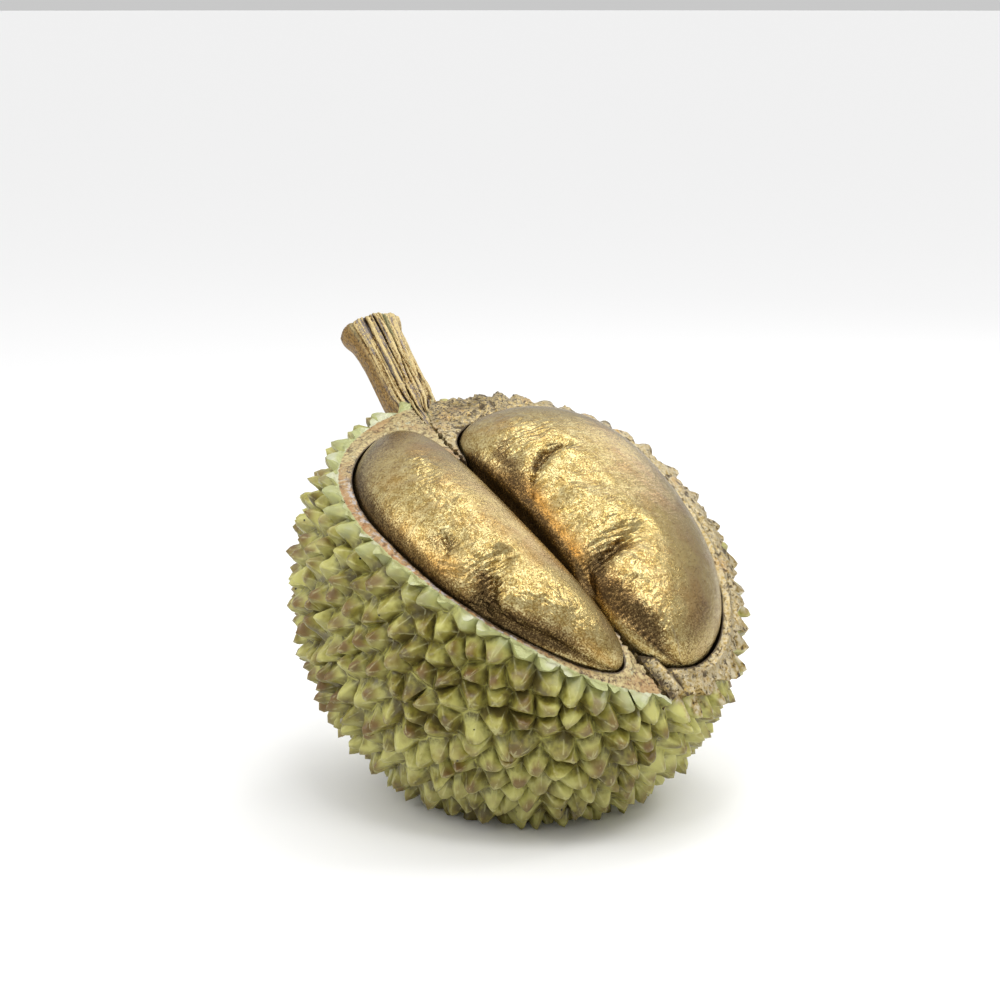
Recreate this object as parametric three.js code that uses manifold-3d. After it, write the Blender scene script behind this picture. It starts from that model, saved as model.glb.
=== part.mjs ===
// A durian lying on its side, opened across the top, its stem end raised.
// Five bodies: the spiny husk, the pith inside it, two pods in their hollows, and the stem.
// Units are millimetres, +Z is up, and the middle of the flat resting spot is the origin.
//
// Everything is drawn in the fruit's own frame first: x across, y along the fruit towards the stem,
// z out of the cut face, with the origin at the middle of the whole fruit. One group leans that frame
// back by LEAN and lifts it by REST_HEIGHT.
import * as THREE from 'three';
import { ConvexHull } from 'three/addons/math/ConvexHull.js';
import { mergeVertices } from 'three/addons/utils/BufferGeometryUtils.js';
import Module from 'manifold-3d';

const wasm = await Module();
wasm.setup();

// Driving dimensions of the whole fruit, measured over the valleys between the spines
const FRUIT_LENGTH = 192.4;
const FRUIT_WIDTH = 175.6;
const FRUIT_DEPTH = 185.2;
const LEAN = THREE.MathUtils.degToRad(30.4);
const REST_HEIGHT = 87;

// The cut face: its height over the middle, and how it falls away along, across and by a twist
const CUT_HEIGHT = 44.3;
const CUT_FALL_ALONG = 0.00207;
const CUT_FALL_ACROSS = 0.00123;
const CUT_TWIST = 0.00165;

// Spines cover the whole fruit, each standing on one cell of an uneven net
const SPINE_COUNT = 1100;
const SPINE_HEIGHT = 8.2;
const SPINE_HEIGHT_SPREAD = 0.22;
const SPINE_LEAN = 0.03;
const CELL_SCATTER = 0.03;
const SPINE_SEED = 20;

// The pith is an egg inside the husk, thickest under the fruit
const PITH_LENGTH = 182;
const PITH_WIDTH = 169.6;
const PITH_DEPTH = 167;
const PITH_LIFT = 6;
const PITH_SEGMENTS = 26;
const PITH_RINGS = 14;

// Clearances between neighbours
const TOUCH_GAP = 0.3;
const HOLLOW_GAP = 1.3;

// The pods: middle line, half width, half length, rise over the cut face and depth under it
const LEFT_POD = {
  x: -49.8, y: -3.5, bow: 23, bowAt: 0.12, bowPower: 2.3, halfWidth: 25.5, halfLength: 76.5,
  rise: 17, depth: 55, bluntTip: 3, bluntStem: 2.5,
  folds: [
    { x: -34, y: -36, curve: 0.01, width: 4.5, depth: 0.26, fade: 12 },
    { x: -52, y: -6, curve: 0.004, width: 7, depth: 0.12, fade: 8 },
  ],
};
const RIGHT_POD = {
  x: 27, y: -7, bow: -10, bowAt: 0, bowPower: 2, halfWidth: 41, halfLength: 74,
  rise: 17, depth: 58, bluntTip: 2.8, bluntStem: 4,
  folds: [
    { x: 21, y: 26, curve: 0.0159, width: 5, depth: 0.36, fade: 14 },
    { x: 21, y: -29, curve: 0.0129, width: 5, depth: 0.3, fade: 12 },
  ],
};
const POD_SIDES = 22;
const POD_RINGS = 32;

// The stem runs out between the hollows, from a thin root to a flared broken end
const STEM_LINE = [
  [-13, 66, 31], [-6, 80, 24.5], [0, 93, 18.5], [2, 106, 17.5], [1.5, 127, 24], [0.5, 146.5, 30],
];
const STEM_RADII = [1.5, 5.5, 10, 11.2, 10.9, 12.6];
const STEM_SIDES = 30;
const STEM_GROOVES = 10;
const STEM_GROOVE_DEPTH = 0.07;
const STEM_END_RAGGED = 1.6;

// The seam is a curved crack in the cut face, open at both ends of the partition
const SEAM_X = -19;
const SEAM_Y = 10;
const SEAM_CURVE = 0.0019;
const SEAM_HALF_WIDTH = 1.7;
const SEAM_DEPTH = 9;
const SEAM_REACHES = [[56, 112], [-112, -66]];

function cutHeight(x, y) {
  return CUT_HEIGHT - CUT_FALL_ALONG * y * y - CUT_FALL_ACROSS * x * x + CUT_TWIST * x * y;
}

// A small seeded generator, so the same fruit grows each time
function seededRandom(seed) {
  let state = seed >>> 0;
  return () => {
    state = (state + 0x6d2b79f5) >>> 0;
    let mixed = Math.imul(state ^ (state >>> 15), state | 1);
    mixed = (mixed + Math.imul(mixed ^ (mixed >>> 7), mixed | 61)) ^ mixed;
    return ((mixed ^ (mixed >>> 14)) >>> 0) / 4294967296;
  };
}

// Shared vertices are merged, then each one is moved by the given rule
function shaped(geometry, move) {
  geometry.deleteAttribute('normal');
  geometry.deleteAttribute('uv');
  const merged = mergeVertices(geometry, 1e-4);
  const positions = merged.attributes.position;
  const point = new THREE.Vector3();
  for (let i = 0; i < positions.count; i += 1) {
    point.fromBufferAttribute(positions, i);
    move(point);
    positions.setXYZ(i, point.x, point.y, point.z);
  }
  return merged;
}

function solidOf(geometry) {
  return new wasm.Manifold(new wasm.Mesh({
    numProp: 3,
    vertProperties: new Float32Array(geometry.attributes.position.array),
    triVerts: new Uint32Array(geometry.index.array),
  }));
}

// Cutting can leave loose crumbs, so only the largest body is kept
function largestBody(solid) {
  return solid.decompose().reduce((best, body) => (body.volume() > best.volume() ? body : best));
}

function geometryOf(solid) {
  const mesh = solid.getMesh();
  const geometry = new THREE.BufferGeometry();
  geometry.setAttribute('position', new THREE.BufferAttribute(new Float32Array(mesh.vertProperties), 3));
  geometry.setIndex(new THREE.BufferAttribute(new Uint32Array(mesh.triVerts), 1));
  geometry.computeVertexNormals();
  return geometry;
}

// The way out of the fruit at a point of the unit sphere, and that point on the fruit, lifted
function fruitPoint(direction, lift) {
  const half = new THREE.Vector3(FRUIT_WIDTH / 2, FRUIT_LENGTH / 2, FRUIT_DEPTH / 2);
  const outward = direction.clone().divide(half).normalize();
  return direction.clone().multiply(half).addScaledVector(outward, lift);
}

// Cell middles follow an even spiral over the sphere, each scattered a little
function spineSeeds(random) {
  const goldenAngle = Math.PI * (3 - Math.sqrt(5));
  const seeds = [];
  for (let i = 0; i < SPINE_COUNT; i += 1) {
    const level = 1 - (2 * i + 1) / SPINE_COUNT;
    const ring = Math.sqrt(1 - level * level);
    const seed = new THREE.Vector3(ring * Math.cos(i * goldenAngle), level, ring * Math.sin(i * goldenAngle));
    seed.x += CELL_SCATTER * (2 * random() - 1);
    seed.y += CELL_SCATTER * (2 * random() - 1);
    seed.z += CELL_SCATTER * (2 * random() - 1);
    seeds.push(seed.normalize());
  }
  return seeds;
}

// One pyramid a cell: the hull of the seeds joins neighbours, and its face normals are cell corners
function spinyFruit() {
  const random = seededRandom(SPINE_SEED);
  const seeds = spineSeeds(random);
  const vertices = [];
  seeds.forEach((seed) => {
    const tip = seed.clone();
    tip.x += SPINE_LEAN * (2 * random() - 1);
    tip.y += SPINE_LEAN * (2 * random() - 1);
    tip.z += SPINE_LEAN * (2 * random() - 1);
    const height = SPINE_HEIGHT * (1 + SPINE_HEIGHT_SPREAD * (2 * random() - 1));
    vertices.push(...fruitPoint(tip.normalize(), height).toArray());
  });
  const hull = new ConvexHull().setFromPoints(seeds);
  const seedNumber = new Map(seeds.map((seed, i) => [seed, i]));
  const cornerNumber = new Map();
  hull.faces.forEach((face) => {
    cornerNumber.set(face, vertices.length / 3);
    vertices.push(...fruitPoint(face.normal.clone().normalize(), 0).toArray());
  });
  const triangles = [];
  hull.faces.forEach((face) => {
    let edge = face.edge;
    do {
      const spine = seedNumber.get(edge.tail().point);
      triangles.push(spine, cornerNumber.get(edge.twin.face), cornerNumber.get(face));
      edge = edge.next;
    } while (edge !== face.edge);
  });
  const geometry = new THREE.BufferGeometry();
  geometry.setAttribute('position', new THREE.BufferAttribute(new Float32Array(vertices), 3));
  geometry.setIndex(triangles);
  return solidOf(geometry);
}

// Everything over the cut face, as a block whose underside is the face
function overTheCut() {
  const reach = 280;
  const steps = 12;
  const top = 150;
  const block = new THREE.BoxGeometry(reach, reach, 2, steps, steps, 1);
  return solidOf(shaped(block, (point) => {
    point.z = point.z < 0 ? cutHeight(point.x, point.y) : top;
  }));
}

// Everything under the surface that the fruit rests on, in the fruit's own frame
function underTheRest() {
  const block = new THREE.BoxGeometry(400, 400, 100);
  const toFruit = new THREE.Matrix4().makeRotationX(-LEAN);
  return solidOf(shaped(block, (point) => {
    point.z -= REST_HEIGHT + 50;
    point.applyMatrix4(toFruit);
  }));
}

function pithEgg(grow) {
  const egg = new THREE.SphereGeometry(1, PITH_SEGMENTS, PITH_RINGS);
  return solidOf(shaped(egg, (point) => {
    point.x *= PITH_WIDTH / 2 + grow;
    point.y *= PITH_LENGTH / 2 + grow;
    point.z = point.z * (PITH_DEPTH / 2 + grow) + PITH_LIFT;
  }));
}

// How deep the pod's folds press in at a place seen from over the cut face, as a share of the rise
function foldDepth(pod, x, y) {
  return pod.folds.reduce((sum, fold) => {
    const along = fold.x - x;
    const line = fold.y - fold.curve * along * Math.abs(along);
    const across = (y - line) / fold.width;
    const reach = 1 / (1 + Math.exp(-along / (fold.fade / 4)));
    return sum + fold.depth * reach * Math.exp(-across * across);
  }, 0);
}

// A pod is a long egg whose middle line bows, with its widest edge on the cut face
function podSolid(pod, gap, sink) {
  const ball = new THREE.SphereGeometry(1, POD_SIDES, POD_RINGS);
  return solidOf(shaped(ball, (point) => {
    const along = THREE.MathUtils.clamp(point.y, -1, 1);
    const ring = Math.hypot(point.x, point.z);
    const across = ring > 0 ? point.x / ring : 0;
    const up = ring > 0 ? point.z / ring : 0;
    const blunt = along > 0 ? pod.bluntStem : pod.bluntTip;
    const girth = Math.sqrt(Math.max(0, 1 - Math.abs(along) ** blunt));
    const middle = pod.x + pod.bow * Math.abs(along - pod.bowAt) ** pod.bowPower;
    const x = middle + (pod.halfWidth + gap) * girth * across;
    const y = pod.y + (pod.halfLength + gap) * along;
    const pressed = up > 0 ? 1 - foldDepth(pod, x, y) : 1;
    const height = up > 0 ? (pod.rise + gap) * pressed : pod.depth + sink;
    point.set(x, y, cutHeight(x, y) + height * girth * up);
  }));
}

// The stem is a grooved tube along its line, with a ragged far end
function stemSolid(grow) {
  const line = new THREE.CatmullRomCurve3(STEM_LINE.map((p) => new THREE.Vector3(...p)));
  const last = STEM_LINE.length - 1;
  const stages = 2 * last;
  const tube = new THREE.CylinderGeometry(1, 1, 2, STEM_SIDES, stages);
  return solidOf(shaped(tube, (point) => {
    const part = (point.y + 1) / 2;
    const centre = line.getPoint(part);
    const ahead = line.getTangent(part);
    const side = new THREE.Vector3(1, 0, 0);
    const front = new THREE.Vector3().crossVectors(side, ahead).normalize();
    const stage = Math.min(Math.floor(part * last), last - 1);
    const radius = THREE.MathUtils.lerp(STEM_RADII[stage], STEM_RADII[stage + 1], part * last - stage);
    const angle = Math.atan2(point.z, point.x);
    const ring = Math.hypot(point.x, point.z);
    const onFront = THREE.MathUtils.smoothstep(Math.sin(angle), -0.5, 0.3);
    const groove = 1 - STEM_GROOVE_DEPTH * onFront * (1 + Math.cos(STEM_GROOVES * angle)) * 0.5;
    const ragged = part === 1 ? STEM_END_RAGGED * Math.sin(5 * angle) * Math.cos(2 * angle) * ring : 0;
    const reach = ring * (radius * groove + grow);
    const end = part === 0 ? -grow : part === 1 ? grow : 0;
    point.copy(centre)
      .addScaledVector(side, reach * Math.cos(angle))
      .addScaledVector(front, reach * Math.sin(angle))
      .addScaledVector(ahead, ragged + end);
  }));
}

// A wedge along one stretch of the seam, widest at the cut face
function seamWedge([from, to]) {
  const above = 6;
  const wedge = new THREE.BoxGeometry(1, to - from, 2, 1, 6, 1);
  return solidOf(shaped(wedge, (point) => {
    const side = Math.sign(point.x);
    const atTop = point.z > 0;
    const y = point.y + (from + to) / 2;
    const seam = SEAM_X + SEAM_CURVE * (y - SEAM_Y) ** 2;
    const halfWidth = atTop ? SEAM_HALF_WIDTH * (1 + above / SEAM_DEPTH) : SEAM_HALF_WIDTH * 0.15;
    const x = seam + side * halfWidth;
    point.set(x, y, cutHeight(seam, y) + (atTop ? above : -SEAM_DEPTH));
  }));
}

const cut = overTheCut();
const rest = underTheRest();
const seams = wasm.Manifold.union(SEAM_REACHES.map(seamWedge));
const hollows = wasm.Manifold.union([LEFT_POD, RIGHT_POD].map((pod) => podSolid(pod, HOLLOW_GAP, TOUCH_GAP)));
const stemHole = stemSolid(TOUCH_GAP);

const husk = spinyFruit().subtract(pithEgg(0)).subtract(cut).subtract(rest).subtract(stemHole)
  .subtract(seams);
const pith = pithEgg(-TOUCH_GAP).subtract(cut).subtract(hollows).subtract(stemHole).subtract(seams);

const materials = {
  husk: new THREE.MeshStandardMaterial({ color: 0x8f9150, roughness: 0.62, metalness: 0 }),
  pith: new THREE.MeshStandardMaterial({ color: 0xb9935a, roughness: 0.5, metalness: 0.45 }),
  pod: new THREE.MeshStandardMaterial({ color: 0xc9a050, roughness: 0.34, metalness: 0.85 }),
  stem: new THREE.MeshStandardMaterial({ color: 0x8c6a38, roughness: 0.55, metalness: 0.4 }),
};

function named(name, solid, material) {
  const mesh = new THREE.Mesh(geometryOf(solid), material);
  mesh.name = name;
  return mesh;
}

const fruit = new THREE.Group();
fruit.rotation.x = LEAN;
fruit.position.z = REST_HEIGHT;
fruit.add(
  named('husk', largestBody(husk), materials.husk),
  named('pith', largestBody(pith), materials.pith),
  named('pod_left', podSolid(LEFT_POD, 0, 0), materials.pod),
  named('pod_right', podSolid(RIGHT_POD, 0, 0), materials.pod),
  named('stem', stemSolid(0), materials.stem),
);

const durian = new THREE.Group();
durian.add(fruit);

export default durian;
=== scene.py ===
# %% [markdown]
# # An opened durian with gilded pods
# The object is a cast and painted fruit that lies on its side. A slice of the spiny husk is gone, and
# two long pods covered in gold leaf swell out of their hollows. This lesson dresses the five solids of
# the fixed frame: husk, pith, left pod, right pod and stem.
#
# The first cell loads that frame.

import math

import bmesh
import bpy
import numpy as np
from mathutils import Matrix, Vector


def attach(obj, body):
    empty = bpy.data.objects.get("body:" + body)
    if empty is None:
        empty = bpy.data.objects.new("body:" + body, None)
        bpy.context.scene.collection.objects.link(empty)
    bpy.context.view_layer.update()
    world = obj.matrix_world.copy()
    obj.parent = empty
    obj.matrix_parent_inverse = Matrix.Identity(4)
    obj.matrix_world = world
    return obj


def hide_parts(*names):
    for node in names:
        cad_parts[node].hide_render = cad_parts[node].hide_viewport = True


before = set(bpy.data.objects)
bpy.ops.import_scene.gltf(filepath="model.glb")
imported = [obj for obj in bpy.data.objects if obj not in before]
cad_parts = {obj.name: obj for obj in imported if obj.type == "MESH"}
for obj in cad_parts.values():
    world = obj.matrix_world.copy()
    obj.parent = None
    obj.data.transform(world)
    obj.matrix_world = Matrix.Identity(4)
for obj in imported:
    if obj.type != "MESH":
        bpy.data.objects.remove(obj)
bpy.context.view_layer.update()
print("solids:", sorted(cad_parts))

# %% [markdown]
# ## The fruit's own frame
# A leaning fruit is awkward to draw, and an upright one is easy. So each piece is worked out in the
# fruit's own frame, in millimetres: x across, y along the fruit towards the stem, z out of the cut
# face. The function `placed` leans the fruit back, lifts it onto its resting spot and gives metres.
# The sizes are the ones that the solids were built from, so every piece lands on its solid.

# %% Sizes of the fruit and the way into place
MM = 0.001
FRUIT_HALF = np.array((175.6, 192.4, 185.2)) / 2
LEAN = math.radians(30.4)
REST_HEIGHT = 87.0
CUT_HEIGHT = 44.3
CUT_FALL_ALONG = 0.00207
CUT_FALL_ACROSS = 0.00123
CUT_TWIST = 0.00165
OUT_OF_CUT = Vector((0, -math.sin(LEAN), math.cos(LEAN)))


def placed(points):
    x, y, z = np.asarray(points, float).T
    along = y * math.cos(LEAN) - z * math.sin(LEAN)
    height = y * math.sin(LEAN) + z * math.cos(LEAN) + REST_HEIGHT
    return np.stack((x, along, height), axis=-1) * MM


def unplaced(points):
    x, along, height = np.asarray(points, float).T / MM
    height = height - REST_HEIGHT
    y = along * math.cos(LEAN) + height * math.sin(LEAN)
    z = height * math.cos(LEAN) - along * math.sin(LEAN)
    return np.stack((x, y, z), axis=-1)


def cut_height(x, y):
    return CUT_HEIGHT - CUT_FALL_ALONG * y * y - CUT_FALL_ACROSS * x * x + CUT_TWIST * x * y


print("middle of the cut face:", placed([(0, 0, CUT_HEIGHT)])[0].round(4))

# %% [markdown]
# ## Camera
# The camera stands where the photograph was taken from: low, and a little to the left of the fruit's
# blunt end. The long lens keeps the far rim nearly as large as the near one. The small function
# `new_object` puts anything new into the scene: first the camera, later lights and pieces.

# %% The camera
VIEW_TURN = math.radians(37.4)
VIEW_RISE = math.radians(12)
VIEW_DISTANCE = 1.008
VIEW_SIDEWAYS = -0.00802
VIEW_LIFT = 0.03767
LENS = 86.4

towards_camera = Vector((
    -math.sin(VIEW_TURN) * math.cos(VIEW_RISE),
    -math.cos(VIEW_TURN) * math.cos(VIEW_RISE),
    math.sin(VIEW_RISE),
))
view_right = Vector((math.cos(VIEW_TURN), -math.sin(VIEW_TURN), 0))
view_up = towards_camera.cross(view_right)
view_from = (
    Vector((0, 0, REST_HEIGHT * MM))
    + view_right * VIEW_SIDEWAYS
    + view_up * VIEW_LIFT
    + towards_camera * VIEW_DISTANCE
)


def new_object(name, data):
    thing = bpy.data.objects.new(name, data)
    bpy.context.scene.collection.objects.link(thing)
    return thing


camera = new_object("photo_camera", bpy.data.cameras.new("photo_camera"))
camera.data.lens = LENS
view_axes = Matrix((view_right, view_up, towards_camera)).transposed()
camera.matrix_world = Matrix.Translation(view_from) @ view_axes.to_4x4()
bpy.context.scene.camera = camera
bpy.context.scene.view_settings.view_transform = "Standard"
print("camera at", [round(part, 3) for part in view_from])

# %% [markdown]
# ## Building node trees in code
# Materials and Geometry Nodes are both trees of nodes. Linking each socket by hand makes long scripts,
# so the class below adds one node at a time, fills its inputs with numbers or with the outputs of
# other nodes, and hands back an output. Sums and products then read almost like plain arithmetic.


# %% A short way to write node trees
class Tree:
    def __init__(self, tree):
        self.tree = tree
        self.tree.nodes.clear()

    def node(self, kind, inputs=None, **settings):
        node = self.tree.nodes.new(kind)
        for name, value in settings.items():
            setattr(node, name, value)
        for name, value in (inputs or {}).items():
            if isinstance(value, bpy.types.NodeSocket):
                self.tree.links.new(value, node.inputs[name])
            else:
                node.inputs[name].default_value = value
        return node

    def add(self, kind, inputs=None, output=0, **settings):
        return self.node(kind, inputs, **settings).outputs[output]

    def maths(self, operation, *values, clamp=False):
        inputs = dict(enumerate(values))
        return self.add("ShaderNodeMath", inputs, operation=operation, use_clamp=clamp)

    def times(self, first, second):
        return self.maths("MULTIPLY", first, second)

    def times_plus(self, first, second, rest, clamp=False):
        return self.maths("MULTIPLY_ADD", first, second, rest, clamp=clamp)

    def vector(self, operation, *values, output=0):
        inputs = dict(enumerate(values))
        return self.add("ShaderNodeVectorMath", inputs, output, operation=operation)

    def scaled(self, vector, factor):
        inputs = {"Vector": vector, "Scale": factor}
        return self.add("ShaderNodeVectorMath", inputs, operation="SCALE")

    def fade(self, value, start, end, low=0.0, high=1.0):
        inputs = {"Value": value, "From Min": start, "From Max": end, "To Min": low, "To Max": high}
        return self.add("ShaderNodeMapRange", inputs, interpolation_type="SMOOTHSTEP")

    def noise(self, place, scale, detail=3.0, roughness=0.55, twist=0.0):
        inputs = {"Vector": place, "Scale": scale, "Detail": detail, "Roughness": roughness}
        inputs["Distortion"] = twist
        return self.add("ShaderNodeTexNoise", inputs)


print("node tree writer ready")

# %% [markdown]
# ## Floor, sky and soft boxes
# Gold looks like gold only when it has something to mirror. An even white dome would make it flat, so
# the sky fades from white overhead to grey at the sides, and six small soft boxes add highlights.
# The floor is pale and so wide that its edge lies as far off as a horizon.

# %% The floor, the sky and the soft boxes
FLOOR_RADIUS = 40.0
FLOOR_SIDES = 96
FLOOR_DROP = 0.0003
FLOOR_TONE = 0.92
FLOOR_ROUGHNESS = 0.7


def object_from(shape, name, paint):
    mesh = bpy.data.meshes.new(name)
    shape.to_mesh(mesh)
    shape.free()
    mesh.materials.append(paint)
    return new_object(name, mesh)


def plain_floor():
    paint = bpy.data.materials.new("pale_floor")
    paint.use_nodes = True
    shader = paint.node_tree.nodes["Principled BSDF"]
    shader.inputs["Base Color"].default_value = (FLOOR_TONE, FLOOR_TONE, FLOOR_TONE, 1)
    shader.inputs["Roughness"].default_value = FLOOR_ROUGHNESS
    shape = bmesh.new()
    bmesh.ops.create_circle(shape, cap_ends=True, radius=FLOOR_RADIUS, segments=FLOOR_SIDES)
    bmesh.ops.translate(shape, verts=shape.verts, vec=(0, 0, -FLOOR_DROP))
    floor = object_from(shape, "pale_floor", paint)


def studio_sky(overhead, around):
    world = bpy.data.worlds.new("studio_sky")
    bpy.context.scene.world = world
    world.use_nodes = True
    tree = Tree(world.node_tree)
    direction = tree.add("ShaderNodeTexCoord", output="Generated")
    height = tree.add("ShaderNodeSeparateXYZ", {0: direction}, output="Z")
    strength = tree.fade(height, 0.05, 0.9, around, overhead)
    light = tree.add("ShaderNodeBackground", {"Color": (1, 1, 1, 1), "Strength": strength})
    tree.node("ShaderNodeOutputWorld", {"Surface": light})


def soft_box(name, turn, rise, distance, size, watts):
    light = bpy.data.lights.new(name, "AREA")
    light.energy = watts
    light.shape = "RECTANGLE"
    light.size, light.size_y = size
    turn = math.radians(turn)
    rise = math.radians(rise)
    level = math.cos(rise)
    outward = Vector((math.cos(turn) * level, math.sin(turn) * level, math.sin(rise)))
    box = new_object(name, light)
    box.location = Vector((0, 0, REST_HEIGHT * MM)) + outward * distance
    box.rotation_euler = outward.to_track_quat("Z", "Y").to_euler()


plain_floor()
studio_sky(overhead=1.1, around=0.58)
soft_box("top_box", turn=20, rise=72, distance=1.1, size=(0.36, 0.3), watts=1.7)
soft_box("right_box", turn=24, rise=34, distance=1.3, size=(0.14, 0.8), watts=1.3)
soft_box("front_box", turn=-40, rise=48, distance=1.2, size=(0.3, 0.3), watts=2.6)
soft_box("near_box", turn=-95, rise=54, distance=1.2, size=(0.3, 0.3), watts=1.6)
soft_box("corner_box", turn=-128, rise=62, distance=1.2, size=(0.24, 0.24), watts=1.8)
soft_box("left_box", turn=166, rise=36, distance=1.2, size=(0.6, 0.6), watts=3)
print("lights:", len(bpy.data.lights))

# %% [markdown]
# ## Meshes from rings and rules
# The pods, the pith and the stem are all closed skins over rings of points, as a potter would coil
# them. One function turns rings into a mesh with two closed ends, whose poles are its last two points.
# Numbers that a material needs later, such as how dark the wash is at a point, are stored in the mesh
# as attributes, and `with_poles` gives such numbers the values of the two poles.


# %% Mesh helpers
def new_piece(name, points, faces):
    mesh = bpy.data.meshes.new(name)
    mesh.from_pydata(placed(points).tolist(), [], faces)
    mesh.update()
    return new_object(name, mesh)


def ring_faces(rings, sides):
    faces = []
    for i in range(rings - 1):
        for j in range(sides):
            k = (j + 1) % sides
            faces.append((i * sides + j, (i + 1) * sides + j, (i + 1) * sides + k, i * sides + k))
    first_pole = rings * sides
    last = (rings - 1) * sides
    for j in range(sides):
        k = (j + 1) % sides
        faces.append((first_pole, j, k))
        faces.append((first_pole + 1, last + k, last + j))
    return faces


def ring_piece(name, rings, first_pole, last_pole, coat=None):
    count, sides = rings.shape[:2]
    points = np.vstack((rings.reshape(-1, 3), first_pole, last_pole))
    piece = new_piece(name, points, ring_faces(count, sides))
    if coat is not None:
        piece.data.materials.append(coat)
    return piece


def store(mesh, **attributes):
    for name, values in attributes.items():
        values = np.asarray(values, np.float32)
        kind, field = ("FLOAT_VECTOR", "vector") if values.ndim == 2 else ("FLOAT", "value")
        attribute = mesh.attributes.get(name) or mesh.attributes.new(name, kind, "POINT")
        attribute.data.foreach_set(field, values.ravel())


def with_poles(values, pole):
    return np.concatenate((values, [pole, pole]))


def points_of(mesh):
    points = np.empty(len(mesh.vertices) * 3, np.float32)
    mesh.vertices.foreach_get("co", points)
    return points.reshape(-1, 3)


def smoothstep(values, start, end):
    share = np.clip((values - start) / (end - start), 0, 1)
    return share * share * (3 - 2 * share)


print("mesh helpers ready")

# %% [markdown]
# ## Geometry Nodes in code
# A Geometry Nodes tree is a small machine with named inputs. `geometry_tree` makes an empty one,
# `grow` puts it on a piece as a modifier, sets its inputs, and keeps the result as a plain mesh.
# `cut_away` does the same with a Boolean modifier, which is how the slice and the hollows are cut.
# Two more helpers keep a cut piece neat: `keep_largest` drops the crumbs that a cut leaves behind, and
# `thin_out` merges triangles where the surface is nearly flat, so that the piece stays light, and then
# lifts any point that sank below the floor.

# %% Geometry Nodes and Boolean helpers
SOCKET_KINDS = {float: "NodeSocketFloat", int: "NodeSocketInt", type(None): "NodeSocketMaterial"}


class GeometryTree(Tree):
    def stored(self, name, kind="FLOAT"):
        return self.add("GeometryNodeInputNamedAttribute", {"Name": name}, data_type=kind)

    def with_stored(self, geometry, name, value, domain="POINT"):
        inputs = {"Geometry": geometry, "Name": name, "Value": value}
        return self.add("GeometryNodeStoreNamedAttribute", inputs, data_type="FLOAT", domain=domain)

    def moved(self, geometry, direction, distance):
        inputs = {"Geometry": geometry, "Offset": self.scaled(direction, distance)}
        return self.add("GeometryNodeSetPosition", inputs)

    def swing(self, wave, height):
        return self.times(self.maths("SUBTRACT", wave, 0.5), height)


def geometry_tree(name, inputs):
    group = bpy.data.node_groups.new(name, "GeometryNodeTree")
    group.interface.new_socket("Geometry", in_out="INPUT", socket_type="NodeSocketGeometry")
    group.interface.new_socket("Geometry", in_out="OUTPUT", socket_type="NodeSocketGeometry")
    for label, value in inputs.items():
        kind = SOCKET_KINDS[type(value)]
        socket = group.interface.new_socket(label, in_out="INPUT", socket_type=kind)
        if value is not None:
            socket.default_value = value
    tree = GeometryTree(group)
    return group, tree, tree.node("NodeGroupInput").outputs


def end_tree(tree, geometry, coat):
    solid = tree.add("GeometryNodeRealizeInstances", {"Geometry": geometry})
    coated = tree.add("GeometryNodeSetMaterial", {"Geometry": solid, "Material": coat})
    tree.node("NodeGroupOutput", {0: coated})


def settle(piece):
    graph = bpy.context.evaluated_depsgraph_get()
    mesh = bpy.data.meshes.new_from_object(piece.evaluated_get(graph), depsgraph=graph)
    piece.modifiers.clear()
    piece.data = mesh
    mesh.name = piece.name
    return mesh


def grow(piece, group, values):
    modifier = piece.modifiers.new(group.name, "NODES")
    modifier.node_group = group
    for item in group.interface.items_tree:
        if item.in_out == "INPUT" and item.name in values:
            modifier[item.identifier] = values[item.name]
    return settle(piece)


def cut_away(piece, cutter):
    modifier = piece.modifiers.new("cut away", "BOOLEAN")
    modifier.object = cutter
    modifier.operation = "DIFFERENCE"
    modifier.solver = "MANIFOLD"
    modifier.material_mode = "TRANSFER"
    mesh = settle(piece)
    print(piece.name, "less", cutter.name, len(mesh.polygons), "faces")


def thin_out(piece, share):
    modifier = piece.modifiers.new("thin out", "DECIMATE")
    modifier.ratio = share
    mesh = settle(piece)
    points = points_of(mesh)
    points[:, 2] = np.maximum(points[:, 2], 0)
    mesh.vertices.foreach_set("co", points.ravel())
    print(piece.name, "thinned to", len(mesh.polygons), "triangles")


def keep_largest(piece):
    shape = bmesh.new()
    shape.from_mesh(piece.data)
    unseen = set(shape.verts)
    bodies = []
    while unseen:
        body = [unseen.pop()]
        for vertex in body:
            for edge in vertex.link_edges:
                other = edge.other_vert(vertex)
                if other in unseen:
                    unseen.remove(other)
                    body.append(other)
        bodies.append(body)
    bodies.sort(key=len)
    for body in bodies[:-1]:
        bmesh.ops.delete(shape, geom=body, context="VERTS")
    shape.to_mesh(piece.data)
    shape.free()
    print(piece.name, "crumbs removed:", len(bodies) - 1)


print("tree and Boolean helpers ready")
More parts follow.
